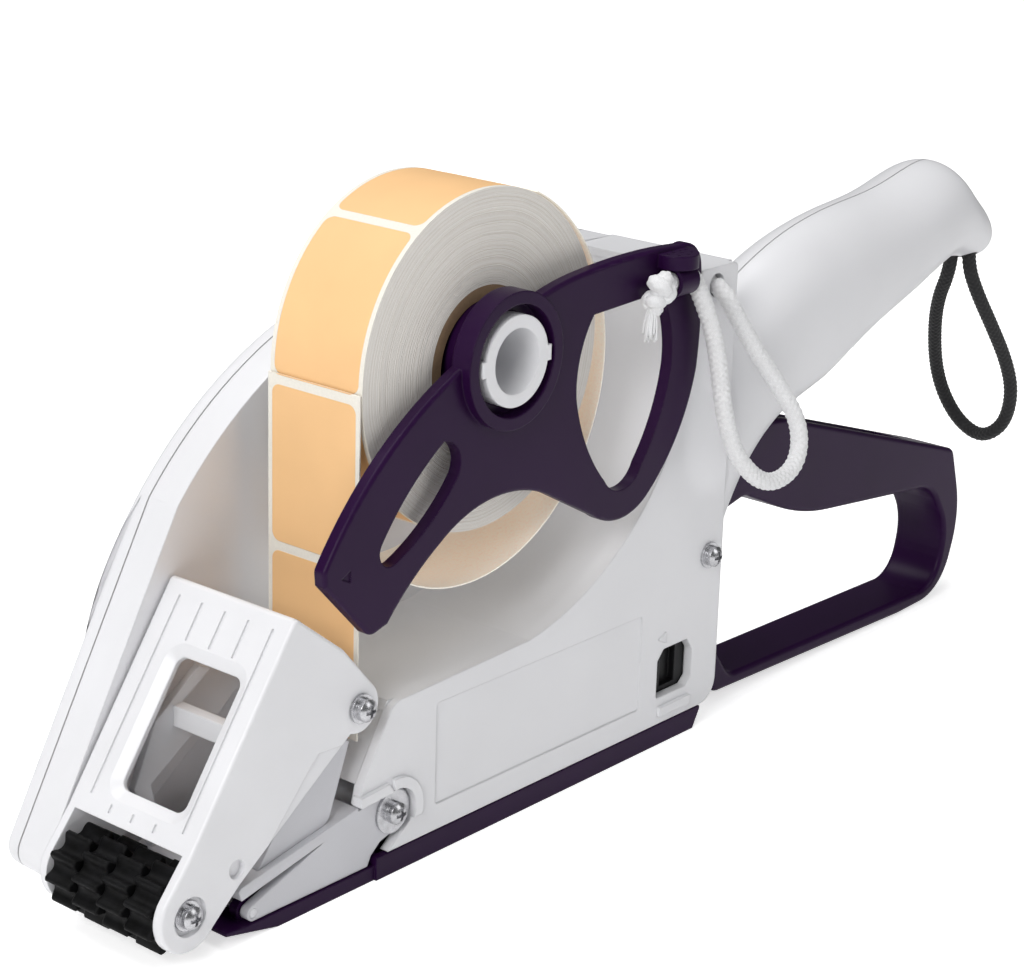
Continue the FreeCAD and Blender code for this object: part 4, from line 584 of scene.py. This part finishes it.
def tied_knot(name, knot):
    """A knot of white yarn."""
    *shape, yarn_mm = knot
    return braided_tube(name, centreline(knot_line(*shape), closed=True), yarn_mm, white_yarn)


def frayed_tail(name):
    """Loose yarns below the lower knot, as one mesh of thin tubes."""
    tubes = []
    for index in range(TAIL_FIBRES):
        angle = index * GOLDEN_ANGLE
        outward = Vector((math.cos(angle), math.sin(angle), 0))
        reach = TAIL_SPREAD * math.sqrt((index + 0.5) / TAIL_FIBRES)
        uneven = TAIL_UNEVEN * noise.noise(Vector((index * 1.7, 0.3, 0.9)))
        foot = Vector(TAIL_FOOT) + Vector((math.cos(angle) * reach,
                                           math.sin(angle) * reach * TAIL_FLATNESS, uneven))
        start = Vector(TAIL_TOP) + outward * reach * TAIL_ROOT
        middle = start.lerp(foot, 0.55) + outward * TAIL_BELLY
        tubes.append(braided_tube("fibre", centreline([start, middle, foot]), FIBRE_DIAMETER, white_yarn,
                                  carriers=2, lay_mm=0.6, relief=0.2, step_mm=0.5, around=8))
    first = tubes[0]
    with bpy.context.temp_override(active_object=first, selected_editable_objects=tubes):
        bpy.ops.object.join()
    first.name = name
    return first


def add_tether():
    """White braided tether with its two outer knots, its frayed tail and the end in the eyelet."""
    line = centreline(TETHER_ROUTE)
    cord = braided_tube("tether", line, TETHER_DIAMETER, white_yarn)
    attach(cord, "root")
    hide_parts("tether_cord")
    knot = tied_knot("tether_knot_upper", UPPER_KNOT)
    lower = tied_knot("tether_knot_lower", LOWER_KNOT)
    tail = frayed_tail("tether_tail")
    through = braided_tube("tether_through", centreline(THROUGH_ROUTE), THROUGH_DIAMETER, white_yarn)
    for item in (knot, lower, tail, through):
        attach(item, "retainer")
    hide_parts("tether_knot")


def add_wrist_cord():
    """Black braided wrist cord that hangs from the handle."""
    line = centreline(WRIST_ROUTE)
    cord = braided_tube("wrist_loop", line, WRIST_DIAMETER, black_yarn, lay_mm=1.3)
    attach(cord, "root")
    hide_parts("wrist_cord")


add_tether()
add_wrist_cord()


# ---------------------------------------------------------------- application roller

ROLLER_X, ROLLER_Z, ROLLER_RADIUS = -82.0, 11.0, 8.4
WHEEL_LOBES, GROOVE_RADIUS, WHEEL_BORE = 10, 1.9, 2.05
# Points round a wheel, the width of its bevel, and how many points each side smooth its outline.
WHEEL_STEPS, WHEEL_EDGE, WHEEL_SMOOTHING = 400, 0.3, 3


def lobed_outline(phase):
    """Radius at each step round a wheel: round grooves between rounded lobes."""
    pitch = 2 * math.pi / WHEEL_LOBES
    radii = []
    for step in range(WHEEL_STEPS):
        turn = 2 * math.pi * step / WHEEL_STEPS - phase
        off = (turn / pitch + 0.5) % 1.0 * pitch - pitch / 2
        side = ROLLER_RADIUS * math.sin(off)
        depth = GROOVE_RADIUS ** 2 - side ** 2
        groove = ROLLER_RADIUS * math.cos(off) - math.sqrt(depth) if depth > 0 else ROLLER_RADIUS
        radii.append(min(ROLLER_RADIUS, groove))
    around = range(-WHEEL_SMOOTHING, WHEEL_SMOOTHING + 1)
    return [sum(radii[(step + near) % WHEEL_STEPS] for near in around) / len(around)
            for step in range(WHEEL_STEPS)]


def add_lobed_wheel(node, phase):
    """Rubber wheel with deep grooves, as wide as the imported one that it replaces."""
    places = [NODES[node].matrix_world @ vertex.co for vertex in NODES[node].data.vertices]
    low, high = (pick(place.y for place in places) / MM for pick in (min, max))
    bore = [WHEEL_BORE] * WHEEL_STEPS
    outline = lobed_outline(phase)
    bevelled = [radius - WHEEL_EDGE for radius in outline]
    rings = [(low, bore), (low, bevelled), (low + WHEEL_EDGE, outline),
             (high - WHEEL_EDGE, outline), (high, bevelled), (high, bore)]
    vertices, faces = [], []
    for y, radii in rings:
        for step, radius in enumerate(radii):
            angle = 2 * math.pi * step / WHEEL_STEPS
            vertices.append(((ROLLER_X + radius * math.cos(angle)) * MM, y * MM,
                             (ROLLER_Z + radius * math.sin(angle)) * MM))
    for ring in range(len(rings)):
        following = (ring + 1) % len(rings)
        for step in range(WHEEL_STEPS):
            ahead = (step + 1) % WHEEL_STEPS
            faces.append((ring * WHEEL_STEPS + step, ring * WHEEL_STEPS + ahead,
                          following * WHEEL_STEPS + ahead, following * WHEEL_STEPS + step))
    mesh = bpy.data.meshes.new(node + "_lobes")
    mesh.from_pydata(vertices, [], faces)
    mesh.materials.append(black_rubber)
    wheel = add_object(node + "_lobes", mesh)
    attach(wheel, "application_roller")
    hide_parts(node)


# Every second wheel is turned by half a lobe.
for number, node in enumerate(STAR_WHEELS):
    add_lobed_wheel(node, math.radians(180 / WHEEL_LOBES * (number % 2)))


# ---------------------------------------------------------------- floor and light

FLOOR_REACH = 6.0
FLOOR_DARK, FLOOR_LIGHT = (0.93, 0.93, 0.93, 1), (0.95, 0.95, 0.95, 1)
# What the camera sees of the floor's glow rises between these distances from the origin, in
# millimetres.  Light that meets the floor on other ways finds GLOW_CAST.
GLOW_FROM, GLOW_TO = 250.0, 900.0
GLOW_NEAR, GLOW_FAR, GLOW_CAST = 0.62, 1.0, 0.20

PLAIN_WHITE = (1, 1, 1, 1)
ROOM_COLOUR, ROOM_STRENGTH, BACKDROP_STRENGTH = (0.97, 0.98, 1.0, 1), 0.11, 1.0

# Each lamp's name, place, target, width and power in watts.
LAMPS = [
    ("key", (-1.10, -0.33, 0.78), (0.0, 0, 0.06), 0.6, 9.0),
    ("side", (0.45, -1.05, 0.80), (0.04, 0, 0.06), 0.7, 3.0),
    ("top", (-0.15, 0.25, 1.15), (0.03, 0, 0.08), 0.9, 9.0),
]


def add_floor():
    """A white floor that takes shadows near the part and turns plain white far from it."""
    mesh = bpy.data.meshes.new("floor")
    mesh.from_pydata([(-FLOOR_REACH, -FLOOR_REACH, 0), (FLOOR_REACH, -FLOOR_REACH, 0),
                      (FLOOR_REACH, FLOOR_REACH, 0), (-FLOOR_REACH, FLOOR_REACH, 0)], [], [(0, 1, 2, 3)])
    graph = Graph("floor")
    place = graph.place_mm()
    x, y, _ = graph.split(place)
    tint = graph.mix(graph.noise(place, scale=0.004), FLOOR_DARK, FLOOR_LIGHT)
    seen = graph.remap(graph.hypotenuse(x, y), GLOW_FROM, GLOW_TO, GLOW_NEAR, GLOW_FAR)
    ray = graph.tree.nodes.new("ShaderNodeLightPath")
    glow = graph.remap(ray.outputs["Is Camera Ray"], 0.0, 1.0, GLOW_CAST, seen)
    graph.put(glow, graph.shader.inputs["Emission Strength"])
    graph.finish(tint, 0.9, Specular_IOR_Level=0.1, Emission_Color=PLAIN_WHITE)
    mesh.materials.append(graph.material)
    floor = add_object("floor", mesh)


def add_world():
    """Even light from all round, white where the camera looks past the floor."""
    world = bpy.data.worlds.new("studio")
    world.use_nodes = True
    tree = world.node_tree
    room = tree.nodes["Background"]
    room.inputs["Color"].default_value = ROOM_COLOUR
    room.inputs["Strength"].default_value = ROOM_STRENGTH
    backdrop = tree.nodes.new("ShaderNodeBackground")
    backdrop.inputs["Color"].default_value = PLAIN_WHITE
    backdrop.inputs["Strength"].default_value = BACKDROP_STRENGTH
    ray = tree.nodes.new("ShaderNodeLightPath")
    blend = tree.nodes.new("ShaderNodeMixShader")
    tree.links.new(ray.outputs["Is Camera Ray"], blend.inputs[0])
    tree.links.new(room.outputs[0], blend.inputs[1])
    tree.links.new(backdrop.outputs[0], blend.inputs[2])
    tree.links.new(blend.outputs[0], tree.nodes["World Output"].inputs["Surface"])
    bpy.context.scene.world = world


def add_lamp(name, place, target, size, power):
    """A square white lamp that points at its target."""
    data = bpy.data.lights.new(name, "AREA")
    data.size, data.energy = size, power
    lamp = add_object(name, data)
    lamp.location = place
    lamp.rotation_euler = (Vector(target) - Vector(place)).to_track_quat("-Z", "Y").to_euler()


add_floor()
add_world()
for lamp in LAMPS:
    add_lamp(*lamp)

bpy.context.scene.view_settings.view_transform = "Standard"
